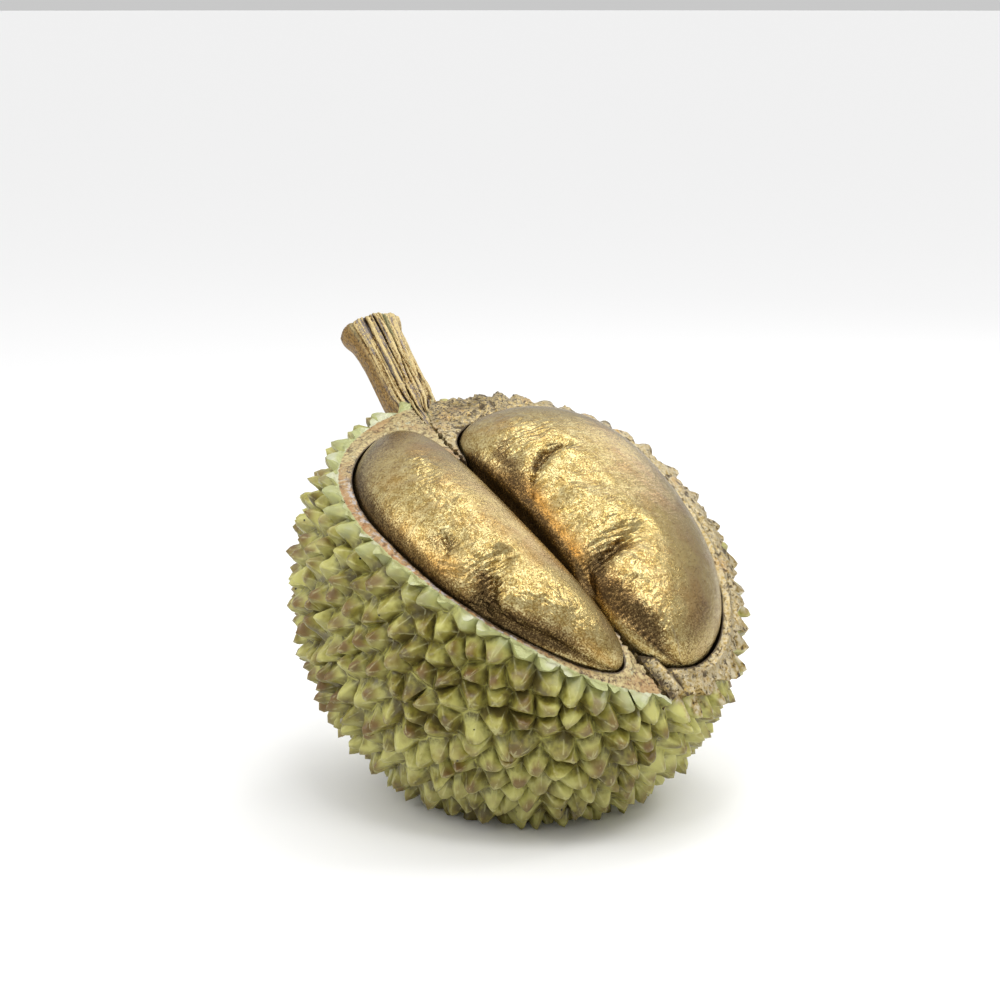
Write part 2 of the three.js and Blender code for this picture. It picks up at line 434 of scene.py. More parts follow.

# %% [markdown]
# ## Finishes: a short way to write a material
# All finishes here are layers, as on the real casting: a base coat, a darker wash that settles in low
# places, and a paler dry brush on high ones. Part of that darkening, in gaps, hollows, creases and
# under the pods, is painted shade, and part of the paler brush on the husk's ridges is a painted
# highlight.
# `Finish` starts a material with the object's own coordinates and adds the few nodes that every layer
# needs. A noise's scale counts its waves in a metre, so 120 gives patches of about 8 mm. Numbers that
# stay the same all over a surface are set on the shader's own sockets.
#
# `noises` makes one noise for each line of a table: its scale, its detail and, where given, its
# roughness and twist. `layers` lays one coat over another in a painter's order: each coat is a colour
# and the share of it that shows. `bumps` stacks fine reliefs, each with its depth and strength.


# %% A short way to write a finish
class Finish(Tree):
    def __init__(self, name):
        self.material = bpy.data.materials.new(name)
        self.material.use_nodes = True
        super().__init__(self.material.node_tree)
        self.place = self.add("ShaderNodeTexCoord", output="Object")

    def shares(self, *names):
        return [self.add("ShaderNodeAttribute", output="Fac", attribute_name=name) for name in names]

    def skin_place(self):
        return self.add("ShaderNodeAttribute", output="Vector", attribute_name="skin_place")

    def noises(self, place, sizes):
        return [self.noise(place, *size) for size in sizes.values()]

    def facing(self, direction):
        normal = self.add("ShaderNodeNewGeometry", output="Normal")
        return self.vector("DOT_PRODUCT", normal, direction, output="Value")

    def layer(self, below, colour, amount):
        node = self.node("ShaderNodeMix", {0: amount, 6: below}, data_type="RGBA")
        if isinstance(colour, bpy.types.NodeSocket):
            self.tree.links.new(colour, node.inputs[7])
        else:
            node.inputs[7].default_value = (*colour, 1)
        return node.outputs[2]

    def layers(self, colour, *coats):
        for coat, amount in coats:
            colour = self.layer(colour, coat, amount)
        return colour

    def ramp(self, value, *stops):
        node = self.node("ShaderNodeValToRGB", {0: value})
        elements = node.color_ramp.elements
        elements[0].position = stops[0][0]
        elements[1].position = stops[-1][0]
        for position, _ in stops[1:-1]:
            elements.new(position)
        for element, (_, colour) in zip(elements, stops):
            element.color = (*colour, 1)
        return node.outputs[0]

    def bumps(self, *waves):
        surface = {}
        for height, depth, strength in waves:
            inputs = {"Height": height, "Distance": depth, "Strength": strength, **surface}
            surface = {"Normal": self.add("ShaderNodeBump", inputs)}
        return surface["Normal"]

    def finished(self, sockets):
        shader = self.add("ShaderNodeBsdfPrincipled", sockets)
        self.node("ShaderNodeOutputMaterial", {"Surface": shader})
        return self.material


print("finish writer ready")

# %% [markdown]
# ### The painted husk
# The real husk is olive paint with a brown blush on the crests, thin pale lines along the creases and
# edges, a few black pinholes, and mint green under the rim. Over that lie painted shade and highlight:
# the valleys between the spines turn darker brown, a wash that also stands for their shade, the flanks
# that face down turn darker olive, and the pale ridges are a dry brush that also stands for a
# highlight.
# The spine net stores how near each point is to its tip (`tip_share`) and to an edge between two flanks
# (`ridge`), so the brush strokes follow the spines. Close to the rim, gold from the cut face spills
# over the spines on the right-hand side.

# %% The husk's paint
OLIVE_DARK = (0.115, 0.09, 0.018)
OLIVE = (0.3, 0.268, 0.046)
OLIVE_LIGHT = (0.53, 0.51, 0.15)
DRY_BRUSH_HIGHLIGHT = (0.6, 0.58, 0.27)
CREST_BROWN = (0.15, 0.078, 0.018)
CREASE_WASH_AND_SHADE = (0.07, 0.055, 0.016)
MINT = (0.38, 0.41, 0.175)
PINHOLE = (0.012, 0.01, 0.006)
LEAF_GOLD = (0.355, 0.248, 0.074)
LEAF_PALE = (0.57, 0.475, 0.23)
BAND_CREAM = (0.57, 0.495, 0.33)
LEAF_ORANGE = (0.43, 0.19, 0.022)
SHADE_AND_WASH_BROWN = (0.17, 0.098, 0.032)
UMBER = (0.045, 0.026, 0.01)
HUSK_NOISES = {
    "broad": (34, 2), "brush": (48, 2), "patches": (120, 3), "small": (330, 3, 0.6), "grain": (1100, 2),
}
HOLE_SCALE = 115.0


def husk_paint():
    finish = Finish("husk_paint")
    tip, ridge, under_cut, gilded = finish.shares("tip_share", "ridge", "under_cut", "gilded")
    broad, brush, patches, small, grain = finish.noises(finish.place, HUSK_NOISES)
    olive = finish.times_plus(patches, 0.55, finish.times(broad, 0.45))
    # Wash and painted shade: the valleys between the spines are darkened towards brown.
    low = finish.times(finish.fade(tip, 0.42, 0.05), finish.fade(small, 0.36, 0.6, 0.3, 0.88))
    height = finish.times_plus(patches, 0.9, tip)
    height = finish.times_plus(finish.facing(OUT_OF_CUT), 0.3, height)
    crest = finish.times(finish.fade(height, 0.88, 1.3), finish.fade(brush, 0.4, 0.6, 0.1, 0.95))
    # Painted shade: the flanks that face down are darkened towards dark olive.
    painted_shade_below = finish.times(finish.fade(finish.facing((0, 0, 1)), 0.25, -0.35), 0.45)
    crease = finish.times(finish.fade(tip, 0.07, 0.015), finish.fade(patches, 0.48, 0.6))
    pale = finish.times(gilded, finish.fade(patches, 0.4, 0.62, 0.05, 0.6))
    # Dry brush and painted highlight: the ridges of the spines are lightened towards pale olive.
    edge = finish.times(finish.fade(ridge, 0.84, 0.98), finish.fade(small, 0.45, 0.6, 0, 0.36))
    near_rim = finish.times_plus(patches, 11.0, under_cut)
    unspilt = finish.fade(gilded, 0.7, 0.2, 0.35, 0.7)
    mint = finish.times(finish.fade(near_rim, 10.5, 3.5), unspilt)
    spill = finish.times(finish.fade(near_rim, 10, 7), gilded)
    leaf = finish.ramp(small, (0.36, UMBER), (0.46, LEAF_GOLD), (0.6, BAND_CREAM))
    dots = finish.add("ShaderNodeTexVoronoi", {"Vector": finish.place, "Scale": HOLE_SCALE})
    hole = finish.fade(dots, 0.07, 0.04)
    colour = finish.layers(
        finish.ramp(olive, (0.4, OLIVE_DARK), (0.46, OLIVE), (0.54, OLIVE_LIGHT)),
        (CREASE_WASH_AND_SHADE, low), (CREST_BROWN, crest), (OLIVE_DARK, painted_shade_below),
        (OLIVE_LIGHT, finish.times(crease, 0.75)), (OLIVE_LIGHT, pale), (DRY_BRUSH_HIGHLIGHT, edge),
        (MINT, mint), (leaf, spill), (PINHOLE, hole),
    )
    surface = finish.bumps((small, 0.0006, 0.35), (grain, 0.0002, 0.4), (hole, -0.0006, 0.8))
    return finish.finished({
        "Base Color": colour, "Roughness": finish.fade(patches, 0.3, 0.7, 0.29, 0.46),
        "Metallic": finish.times(spill, 0.6), "Normal": surface,
    })


HUSK_PAINT = husk_paint()
print("finish:", HUSK_PAINT.name)

# %% [markdown]
# ### The cut face
# The cut face is one casting with two moods. Right of the crack it is gilded: pale gold on the high
# places with umber in the pits. Left of the crack it is a copper-brown band with pale streaks, tan near
# the stem, and a mint border where the spines were sliced. The mesh stores where each of these is:
# `gilded`, `tan`, `border`, and `lip` beside the left hollow, where the band is pushed towards lilac
# white as a painted silver highlight. It also stores a pool of painted shade with a dark wash: umber in
# the gap round each pod, between the pods, down the hollows' walls, in the partition's grooves and at
# the stem pits. `relief` holds the height of the small bumps, so that the wash settles between them.

# %% The finish of the cut face
COPPER = (0.36, 0.18, 0.062)
COPPER_PALE = (0.46, 0.295, 0.135)
LILAC_WHITE = (0.52, 0.49, 0.48)
TAN = (0.33, 0.235, 0.105)
MINT_WHITE = (0.52, 0.54, 0.37)
CUT_NOISES = {"broad": (70, 3), "streak": (260, 3, 0.6, 1.2), "fine": (700, 4, 0.7)}


def cut_finish():
    finish = Finish("cut_face")
    gilded, relief, pool, border = finish.shares("gilded", "relief", "pool", "border")
    lip, near_stem = finish.shares("lip", "tan")
    broad, streak, fine = finish.noises(finish.place, CUT_NOISES)
    low = finish.fade(finish.times_plus(fine, 0.9, relief), 1.03, 0.8)
    gold = finish.layers(
        finish.ramp(fine, (0.4, LEAF_GOLD), (0.6, BAND_CREAM)),
        (LEAF_ORANGE, finish.fade(broad, 0.55, 0.72, 0, 0.3)), (UMBER, finish.times(low, 0.85)),
    )
    tan = finish.layers(
        finish.ramp(fine, (0.36, UMBER), (0.44, TAN), (0.6, LEAF_PALE)),
        (COPPER, finish.fade(broad, 0.5, 0.66, 0, 0.55)),
        (MINT_WHITE, finish.fade(streak, 0.58, 0.7, 0, 0.5)),
    )
    # Painted highlight: beside the left hollow the band is pushed towards lilac white, as a silver
    # highlight on the lip.
    streaked = finish.times_plus(lip, 0.14, streak)
    edge = finish.times_plus(streak, 0.9, border)
    mint = finish.ramp(broad, (0.5, MINT), (0.64, MINT_WHITE))
    # Painted shade with a dark wash: the cut face turns umber round the pods, between them, down the
    # hollows' walls, in the partition's grooves and at the stem pits.
    settled = finish.times_plus(finish.fade(fine, 0.3, 0.7), 0.6, pool)
    settled = finish.times_plus(gilded, 0.1, settled)
    colour = finish.layers(
        finish.ramp(streaked, (0.44, COPPER), (0.58, COPPER_PALE), (0.72, LILAC_WHITE)),
        (tan, near_stem), (UMBER, finish.times(low, 0.55)),
        (mint, finish.fade(edge, 0.84, 1.04, 0, 0.9)), (gold, gilded),
        (UMBER, finish.fade(settled, 0.56, 0.74, 0, 0.9)),
    )
    return finish.finished({
        "Base Color": colour, "Roughness": finish.fade(fine, 0.3, 0.7, 0.28, 0.5),
        "Metallic": finish.times_plus(gilded, 0.45, 0.25),
        "Normal": finish.bumps((fine, 0.0005, 0.6), (streak, 0.0006, 0.5)),
    })


CUT_FACE = cut_finish()
print("finish:", CUT_FACE.name)

# %% [markdown]
# ### Gold leaf
# The pods carry leaf that is bright where it is crumpled, orange where the glue shows through, and
# umber where a dark wash pooled. That umber is also painted shade: it lies along the pods' lower edges,
# in the creases and on the lower flank. A khaki band along the upper flank is a painted reflection of
# the room, mirrored at a grazing angle. Each pod stores those four as attributes. The dark never ends
# in
# a drawn line: the dark marks only move the level at which a fine noise turns dark, so they break up
# into specks at their edge. Gold is a metal, so most of what the eye sees is the room that it mirrors.

# %% The gold leaf
# Colours of the painted reflection band on the pods' upper flank.
MIRRORED_KHAKI = (0.41, 0.305, 0.115)
MIRRORED_ROSE = (0.345, 0.235, 0.1)
LEAF_NOISES = {"broad": (60, 3), "blotch": (230, 4, 0.65), "fine": (1400, 3, 0.7)}
LEAF_SCRATCH = (700, 4, 0.7)


def gold_leaf():
    finish = Finish("gold_leaf")
    mirrored_band, wash_and_shade, glow, crumple, relief = finish.shares("mirrored_band", "wash_and_shade", "glow", "crumple", "relief")
    broad, blotch, fine = finish.noises(finish.place, LEAF_NOISES)
    scratch = finish.noise(finish.skin_place(), *LEAF_SCRATCH)
    patina = finish.times_plus(fine, 0.6, finish.times(blotch, 0.4))
    # Painted reflection: a khaki band along the upper flank, where the room is mirrored at a grazing
    # angle.
    mirrored_tint = finish.ramp(broad, (0.44, MIRRORED_KHAKI), (0.62, MIRRORED_ROSE))
    warm = finish.fade(broad, 0.52, 0.72, 0, 0.2)
    speckle = finish.times_plus(fine, 0.8, finish.times(blotch, 0.2))
    # Wash and painted shade: the dark marks push the leaf towards brown and umber where shade falls, at
    # the lower edges, in the creases and on the lower flank.
    level = finish.times_plus(wash_and_shade, 0.66, finish.times(finish.fade(speckle, 0.3, 0.7), 0.62))
    hollow = finish.times(finish.fade(relief, 0.55, 0.15), crumple)
    level = finish.times_plus(hollow, 0.12, level)
    lines = finish.times(finish.fade(scratch, 0.42, 0.34), crumple)
    level = finish.times_plus(lines, 0.3, level)
    dark = finish.fade(level, 0.62, 0.92, 0, 0.9)
    colour = finish.layers(
        finish.ramp(patina, (0.42, LEAF_PALE), (0.54, LEAF_GOLD)),
        (mirrored_tint, finish.times(mirrored_band, 0.8)),
        (LEAF_ORANGE, finish.times_plus(glow, 0.75, warm, clamp=True)),
        (SHADE_AND_WASH_BROWN, finish.fade(level, 0.4, 0.56, 0, 0.8)), (UMBER, dark),
    )
    return finish.finished({
        "Base Color": colour, "Metallic": 0.92,
        "Roughness": finish.times_plus(dark, 0.15, finish.fade(fine, 0.3, 0.7, 0.14, 0.3)),
        "Normal": finish.bumps((scratch, 0.0005, 0.5), (blotch, 0.0005, 0.3), (fine, 0.0002, 0.4)),
    })


GOLD_LEAF = gold_leaf()
print("finish:", GOLD_LEAF.name)

# %% [markdown]
# ### Split wood
# The stem is a torn stalk: straw on the fibres, dark brown in the cracks, grey-lilac and a touch of
# green patina between them, and brown-gold bark on its left side. Its mesh stores the relief along the
# grain, and `skin_place`, a place on the stem that is squeezed along the grain. A noise that reads this
# place comes out as long fibres.

# %% The stem's finish
GROOVE_BROWN = (0.045, 0.028, 0.012)
GROOVE_GREY = (0.28, 0.255, 0.25)
STRAW = (0.34, 0.228, 0.08)
RIDGE_GOLD = (0.57, 0.45, 0.215)
BARK_GOLD = (0.27, 0.155, 0.04)
PATINA = (0.22, 0.26, 0.15)
WOOD_FINE = (900, 4, 0.7)
GRAIN_NOISES = {"fibre": (800, 4, 0.7), "streak": (240, 3, 0.6)}


def split_wood():
    finish = Finish("split_wood")
    relief, bark = finish.shares("relief", "bark")
    fine = finish.noise(finish.place, *WOOD_FINE)
    fibre, streak = finish.noises(finish.skin_place(), GRAIN_NOISES)
    height = finish.times_plus(fibre, 1.1, relief)
    height = finish.times_plus(fine, 1.9, height)
    height = finish.maths("SUBTRACT", height, 1.55)
    grey = finish.times(finish.fade(streak, 0.49, 0.57), finish.fade(height, 0.78, 0.58))
    skin = finish.ramp(fine, (0.36, GROOVE_BROWN), (0.52, BARK_GOLD), (0.68, STRAW))
    colour = finish.layers(
        finish.ramp(height, (0.35, GROOVE_BROWN), (0.5, BARK_GOLD), (0.63, STRAW), (0.79, RIDGE_GOLD)),
        (GROOVE_GREY, finish.times(grey, 0.75)), (PATINA, finish.fade(streak, 0.4, 0.34, 0, 0.55)),
        (skin, bark),
    )
    return finish.finished({
        "Base Color": colour, "Metallic": 0.5,
        "Roughness": finish.fade(fine, 0.3, 0.7, 0.3, 0.52),
        "Normal": finish.bumps((fibre, 0.0006, 0.6), (fine, 0.0004, 0.8)),
    })


SPLIT_WOOD = split_wood()
print("finish:", SPLIT_WOOD.name)

# %% [markdown]
# ## The spiny husk
# Durian spines are blunt pyramids that share their feet, like the cells of an uneven honeycomb. They
# could be instances of one cone, but then they would poke through each other. Here the fruit's skin is
# first split into cells, one around each seed point, and Geometry Nodes then lift each cell's middle.
#
# The cells come from an old trick: the hull of points on a ball joins each point with its neighbours,
# and the normal of each hull face is a corner where three cells meet. The same seeded draws give the
# same spines as the solid has. They start a little taller, because softening lowers their tips again.
# Near one place below the rim the spines are lower and swell into knobs, as in the photograph.

# %% The net of cells
SPINE_COUNT = 1100
SHARP_HEIGHT = 9.5
SPINE_HEIGHT_SPREAD = 0.22
SPINE_LEAN = 0.03
CELL_SCATTER = 0.03
SPINE_SEED = 20
WORD = 2 ** 32
KNOB_MIDDLE = np.array((-42.0, -82.0, 12.0))
KNOB_REACH = 38.0
KNOB_LOWER = 0.14
KNOB_SWELL = 0.95
PLAIN_FLARE = 1.55
FLARE_SPREAD = 0.15
SLICED_BELOW = 11


def seeded_random(seed):
    state = seed

    def draw():
        nonlocal state
        state = (state + 0x6D2B79F5) % WORD
        mixed = (state ^ (state >> 15)) * (state | 1) % WORD
        mixed = ((mixed + (mixed ^ (mixed >> 7)) * (mixed | 61)) % WORD) ^ mixed
        return ((mixed ^ (mixed >> 14)) % WORD) / WORD

    return draw


def unit(vectors):
    return vectors / np.linalg.norm(vectors, axis=-1, keepdims=True)


def on_fruit(directions, lift=0.0):
    outward = unit(directions / FRUIT_HALF)
    return directions * FRUIT_HALF + outward * np.reshape(lift, (-1, 1))


def spine_seeds(draw):
    golden_angle = math.pi * (3 - math.sqrt(5))
    seeds = np.empty((SPINE_COUNT, 3))
    for i in range(SPINE_COUNT):
        level = 1 - (2 * i + 1) / SPINE_COUNT
        ring = math.sqrt(1 - level * level)
        seeds[i] = ring * math.cos(i * golden_angle), level, ring * math.sin(i * golden_angle)
        seeds[i] += [CELL_SCATTER * (2 * draw() - 1) for _ in range(3)]
    return unit(seeds)


def cells_round(seeds):
    hull = bmesh.new()
    for seed in seeds:
        hull.verts.new(seed)
    bmesh.ops.convex_hull(hull, input=hull.verts)
    bmesh.ops.recalc_face_normals(hull, faces=hull.faces)
    for group in (hull.verts, hull.edges, hull.faces):
        group.index_update()
    corners = unit(np.array([face.normal for face in hull.faces]))
    middles = np.empty((len(hull.edges), 3))
    triangles = []
    for face in hull.faces:
        for loop in face.loops:
            other = loop.link_loop_radial_next.face
            middles[loop.edge.index] = corners[face.index] + corners[other.index]
            middle = SPINE_COUNT + len(corners) + loop.edge.index
            spine = loop.vert.index
            triangles.append((spine, SPINE_COUNT + other.index, middle))
            triangles.append((spine, middle, SPINE_COUNT + face.index))
    hull.free()
    return corners, unit(middles), triangles


def spine_net():
    draw = seeded_random(SPINE_SEED)
    seeds = spine_seeds(draw)
    scatter = np.array([[2 * draw() - 1 for _ in range(4)] for _ in range(SPINE_COUNT)])
    tips = unit(seeds + SPINE_LEAN * scatter[:, :3])
    heights = SHARP_HEIGHT * (1 + SPINE_HEIGHT_SPREAD * scatter[:, 3])
    corners, middles, triangles = cells_round(seeds)
    base = np.vstack((on_fruit(tips), on_fruit(corners), on_fruit(middles)))
    knobby = np.exp(-(np.linalg.norm(base - KNOB_MIDDLE, axis=1) / KNOB_REACH) ** 2)
    feet = base[:SPINE_COUNT]
    heights *= 1 - KNOB_LOWER * knobby[:SPINE_COUNT]
    way = on_fruit(tips, heights) - feet
    below = cut_height(feet[:, 0], feet[:, 1]) - feet[:, 2]
    way[:, 2] *= smoothstep(below, 0, SLICED_BELOW)
    way = unit(way) * heights[:, None]
    rise = np.zeros_like(base)
    rise[:SPINE_COUNT] = placed(feet + way) - placed(feet)
    tip_share = np.zeros(len(base))
    tip_share[:SPINE_COUNT] = 1
    ridge = np.ones(len(base))
    ridge[SPINE_COUNT + len(corners):] = 0
    flare = PLAIN_FLARE - KNOB_SWELL * knobby
    flare[:SPINE_COUNT] += FLARE_SPREAD * scatter[:, 0]
    piece = new_piece("spiny_husk", base, triangles)
    store(piece.data, rise=rise, tip_share=tip_share, ridge=ridge, flare=flare)
    return piece


husk = spine_net()
print("net:", len(husk.data.vertices), "points,", len(husk.data.polygons), "triangles")

# %% [markdown]
# The tree below raises the net. `tip_share` is 1 at a spine's middle and 0 along its foot, and
# subdividing spreads it evenly between them. A curve that is steep on the flank and round at the top
# turns it into height: the flare bends the flank inward, or outward for the swollen knobs below the
# rim. Blurring the points softens the edges a little, and noise adds the lumps of a hand-made mould.

# %% Geometry Nodes: blunt spines
def blunt_spine_tree():
    group, tree, inputs = geometry_tree("Blunt spines", {
        "Levels": 2, "Tip Roundness": 0.1, "Knob Roundness": 0.45, "Softening": 0.45,
        "Lump Size": 0.0045, "Lump Height": 0.0009, "Coat": None,
    })
    net = tree.add("GeometryNodeSubdivideMesh", {"Mesh": inputs["Geometry"], "Level": inputs["Levels"]})
    tip = tree.stored("tip_share")
    flare = tree.stored("flare")
    rise = tree.stored("rise", "FLOAT_VECTOR")
    knob = tree.maths("MAXIMUM", tree.maths("SUBTRACT", PLAIN_FLARE, flare), 0.0)
    roundness = tree.times_plus(knob, inputs["Knob Roundness"], inputs["Tip Roundness"])
    square = tree.times(roundness, roundness)
    far = tree.maths("SQRT", tree.maths("ADD", square, 1.0))
    away = tree.maths("SUBTRACT", 1.0, tip)
    near = tree.maths("SQRT", tree.times_plus(away, away, square))
    reach = tree.maths("SUBTRACT", far, roundness)
    cone = tree.maths("DIVIDE", tree.maths("SUBTRACT", far, near), reach)
    height = tree.maths("POWER", tree.maths("MAXIMUM", cone, 0.0), flare)
    lift = tree.maths("DIVIDE", height, tree.maths("MAXIMUM", tip, 0.001))
    raised = tree.moved(net, rise, lift)
    position = tree.add("GeometryNodeInputPosition")
    weight = tree.times(tree.fade(tip, 0.0, 0.22), inputs["Softening"])
    weight = tree.times(weight, tree.fade(tip, 0.7, 1.0, 1.0, 0.2))
    soft = tree.node("GeometryNodeBlurAttribute", data_type="FLOAT_VECTOR")
    for socket, value in (("Value", position), ("Weight", weight)):
        target = [s for s in soft.inputs if s.name == socket and s.enabled][0]
        tree.tree.links.new(value, target)
    soft.inputs["Iterations"].default_value = 2
    blurred = [s for s in soft.outputs if s.enabled][0]
    softened = tree.add("GeometryNodeSetPosition", {"Geometry": raised, "Position": blurred})
    lumps = tree.noise(position, tree.maths("DIVIDE", 1.0, inputs["Lump Size"]), 2)
    bulge = tree.times(tree.swing(lumps, inputs["Lump Height"]), 2.0)
    normal = tree.add("GeometryNodeInputNormal")
    lumpy = tree.moved(softened, normal, bulge)
    end_tree(tree, lumpy, inputs["Coat"])
    return group


grow(husk, blunt_spine_tree(), {"Levels": 2, "Coat": HUSK_PAINT})
print("spines:", len(husk.data.polygons), "triangles")

# %% [markdown]
# ## The cut face
# Husk and pith were opened by one stroke, so both are cut with the same block, whose underside is the
# cut face. A knife would leave it smooth; the casting is rough, with a thin lip beside each hollow, a
# ridge down the partition and deep pits at the stem. The lips and the ridge follow the outlines of the
# pods, so the pods' rules come first.

# %% The rules of the pods
PODS = {
    "left": dict(
        x=-49.8, y=-3.5, bow=23, bow_at=0.12, bow_power=2.3, half_width=25.5, half_length=76.5,
        rise=17, depth=55, blunt_tip=3, blunt_stem=2.5,
    ),
    "right": dict(
        x=27, y=-7, bow=-10, bow_at=0, bow_power=2, half_width=41, half_length=74,
        rise=17, depth=58, blunt_tip=2.8, blunt_stem=4,
    ),
}


def pod_middle(pod, along):
    return pod["x"] + pod["bow"] * np.abs(along - pod["bow_at"]) ** pod["bow_power"]


def pod_girth(pod, along):
    blunt = np.where(along > 0, pod["blunt_stem"], pod["blunt_tip"])
    return np.sqrt(np.clip(1 - np.abs(along) ** blunt, 0, 1))


def outside(pod, x, y):
    def measure(x, y):
        along = (y - pod["y"]) / pod["half_length"]
        across = (x - pod_middle(pod, np.clip(along, -1.2, 1.2))) / pod["half_width"]
        blunt = np.where(along > 0, pod["blunt_stem"], pod["blunt_tip"])
        return across ** 2 + np.abs(along) ** blunt - 1

    step = 0.5
    slope_x = (measure(x + step, y) - measure(x - step, y)) / (2 * step)
    slope_y = (measure(x, y + step) - measure(x, y - step)) / (2 * step)
    return measure(x, y) / np.maximum(np.hypot(slope_x, slope_y), 0.004)


print("middle of the left pod is", outside(PODS["left"], -49.8, -3.5).round(1), "mm from its edge")

# %% [markdown]
# The block's underside is a fine grid. Plain sums of bumps give the forms that the eye can name: lips,
# the ridge of the partition and its two grooves. Each is a height, the distance of its middle from
# the pod's edge or from the crack, and a width, in millimetres. The finer roughness is left to
# Geometry Nodes.

# %% The block over the cut
CUT_REACH = 112.0
CUT_STEP = 0.9
BLOCK_TOP = 150.0
SEAM_X = -19.0
SEAM_Y = 10.0
SEAM_CURVE = 0.0019
RIGHT_LIP = dict(height=1.3, middle=4.6, width=0.9)
LEFT_LIP = dict(height=0.6, middle=3.4, width=1.0)
RIGHT_BAND = dict(height=0.8, middle=9, width=3.5)
PARTITION_RIDGE = dict(height=1.6, middle=7, width=2.2)
PARTITION_GROOVES = (dict(height=-1.8, middle=2.5, width=1.5), dict(height=-1.2, middle=12, width=1.8))
BETWEEN_DEPTH = 8


def seam_line(y):
    return SEAM_X + SEAM_CURVE * (y - SEAM_Y) ** 2


def hill(values, width):
    return np.exp(-(values / width) ** 2)


def bump_at(distance, height, middle, width):
    return height * hill(distance - middle, width)


def rim_relief(x, y):
    left = outside(PODS["left"], x, y)
    right = outside(PODS["right"], x, y)
    from_seam = x - seam_line(y)
    partition = sum(bump_at(from_seam, **form) for form in (PARTITION_RIDGE, *PARTITION_GROOVES))
    relief = bump_at(right, **RIGHT_LIP) * smoothstep(x, -5, 20)
    relief += bump_at(left, **LEFT_LIP)
    relief += bump_at(right, **RIGHT_BAND) * smoothstep(x, 0, 25)
    relief += partition * smoothstep(y, -60, -78)
    between = smoothstep(left + right, 26, 14) * smoothstep(np.abs(y + 11), 55, 41)
    return relief - BETWEEN_DEPTH * between


def beyond_valleys(points):
    return (np.linalg.norm(points / FRUIT_HALF, axis=-1) - 1) * FRUIT_HALF.mean()


def spared_spines(x, y):
    beyond = beyond_valleys(np.stack((x, y, cut_height(x, y)), axis=-1))
    ragged = 0.7 * np.sin(x * 0.9 + 1) * np.sin(y * 0.8)
    return smoothstep(beyond + ragged, 0.2, 2.4) * 1.6 * smoothstep(x - seam_line(y), 6, -6)


def rim_roughness(x, y):
    near_stem = hill(np.hypot((x - 12) / 1.7, y - 84), 19)
    right = smoothstep(x - seam_line(y), -2, 6)
    return np.clip(0.22 + 0.28 * right + 0.9 * near_stem, 0, 1.3)


def cut_block():
    places = np.linspace(-CUT_REACH, CUT_REACH, int(2 * CUT_REACH / CUT_STEP) + 1)
    x, y = np.meshgrid(places, places, indexing="ij")
    count = len(places)
    number = np.arange(count * count).reshape(count, count)
    height = cut_height(x, y) + rim_relief(x, y) + spared_spines(x, y)
    under = np.stack((x, y, height), axis=-1).reshape(-1, 3)
    a, b, c, d = number[:-1, :-1], number[:-1, 1:], number[1:, 1:], number[1:, :-1]
    faces = np.stack((a, b, c, d), axis=-1).reshape(-1, 4).tolist()
    rim = np.concatenate((number[:-1, 0], number[-1, :-1], number[:0:-1, -1], number[0, :0:-1]))
    top = under[rim] * (1, 1, 0) + (0, 0, BLOCK_TOP)
    points = np.vstack((under, top, (0, 0, BLOCK_TOP)))
    first = len(under)
    middle = len(points) - 1
    for k in range(len(rim)):
        following = (k + 1) % len(rim)
        faces.append((int(rim[k]), int(rim[following]), first + following, first + k))
        faces.append((middle, first + k, first + following))
    block = new_piece("cut_block", points, faces)
    rough = np.zeros(len(points))
    rough[:first] = rim_roughness(under[:, 0], under[:, 1])
    rough[rim] = 0
    store(block.data, rough=rough, skin_place=points * (MM, MM, 0))
    return block


block = cut_block()
print("cut block:", len(block.data.polygons), "faces")

# %% [markdown]
# One tree roughens both the cut face and the pods. It adds three noises: one like crumpled foil, with
# sharp folds, one like grain, and a slow swell. It moves the points along the surface's own normal, and
# stores the first two as `relief`, low in the pits and high on the crests, for the finishes' washes.

# %% Geometry Nodes: crumpled surface
def crumpled_tree():
    group, tree, inputs = geometry_tree("Crumpled surface", {
        "Wave Size": 0.014, "Wave Height": 0.001, "Fold Size": 0.004, "Fold Height": 0.001,
        "Grain Size": 0.0015, "Grain Height": 0.0003, "Seed": 1.0, "Coat": None,
    })
    position = tree.add("GeometryNodeInputPosition")
    rough = tree.stored("rough")
    skin = tree.stored("skin_place", "FLOAT_VECTOR")
    shift = tree.add("ShaderNodeCombineXYZ", {"X": inputs["Seed"]})
    place = tree.vector("ADD", skin, shift)
    fold_scale = tree.maths("DIVIDE", 1.0, inputs["Fold Size"])
    grain_scale = tree.maths("DIVIDE", 1.0, inputs["Grain Size"])
    folds = tree.noise(place, fold_scale, 2, 0.5, 0.6)
    folds = tree.maths("ABSOLUTE", tree.times_plus(folds, 2.0, -1.0))
    folds = tree.times_plus(folds, -2.2, 1.0, clamp=True)
    grain = tree.noise(place, grain_scale, 2, 0.6)
    height = tree.swing(folds, inputs["Fold Height"])
    small = tree.swing(grain, inputs["Grain Height"])
    waves = tree.noise(position, tree.maths("DIVIDE", 1.0, inputs["Wave Size"]), 1)
    swell = tree.swing(waves, inputs["Wave Height"])
    move = tree.times(tree.maths("ADD", height, tree.maths("ADD", small, swell)), rough)
    normal = tree.add("GeometryNodeInputNormal")
    relief = tree.times_plus(folds, 0.6, tree.times(grain, 0.4))
    stored = tree.with_stored(inputs["Geometry"], "relief", relief)
    moved = tree.moved(stored, normal, move)
    end_tree(tree, moved, inputs["Coat"])
    return group


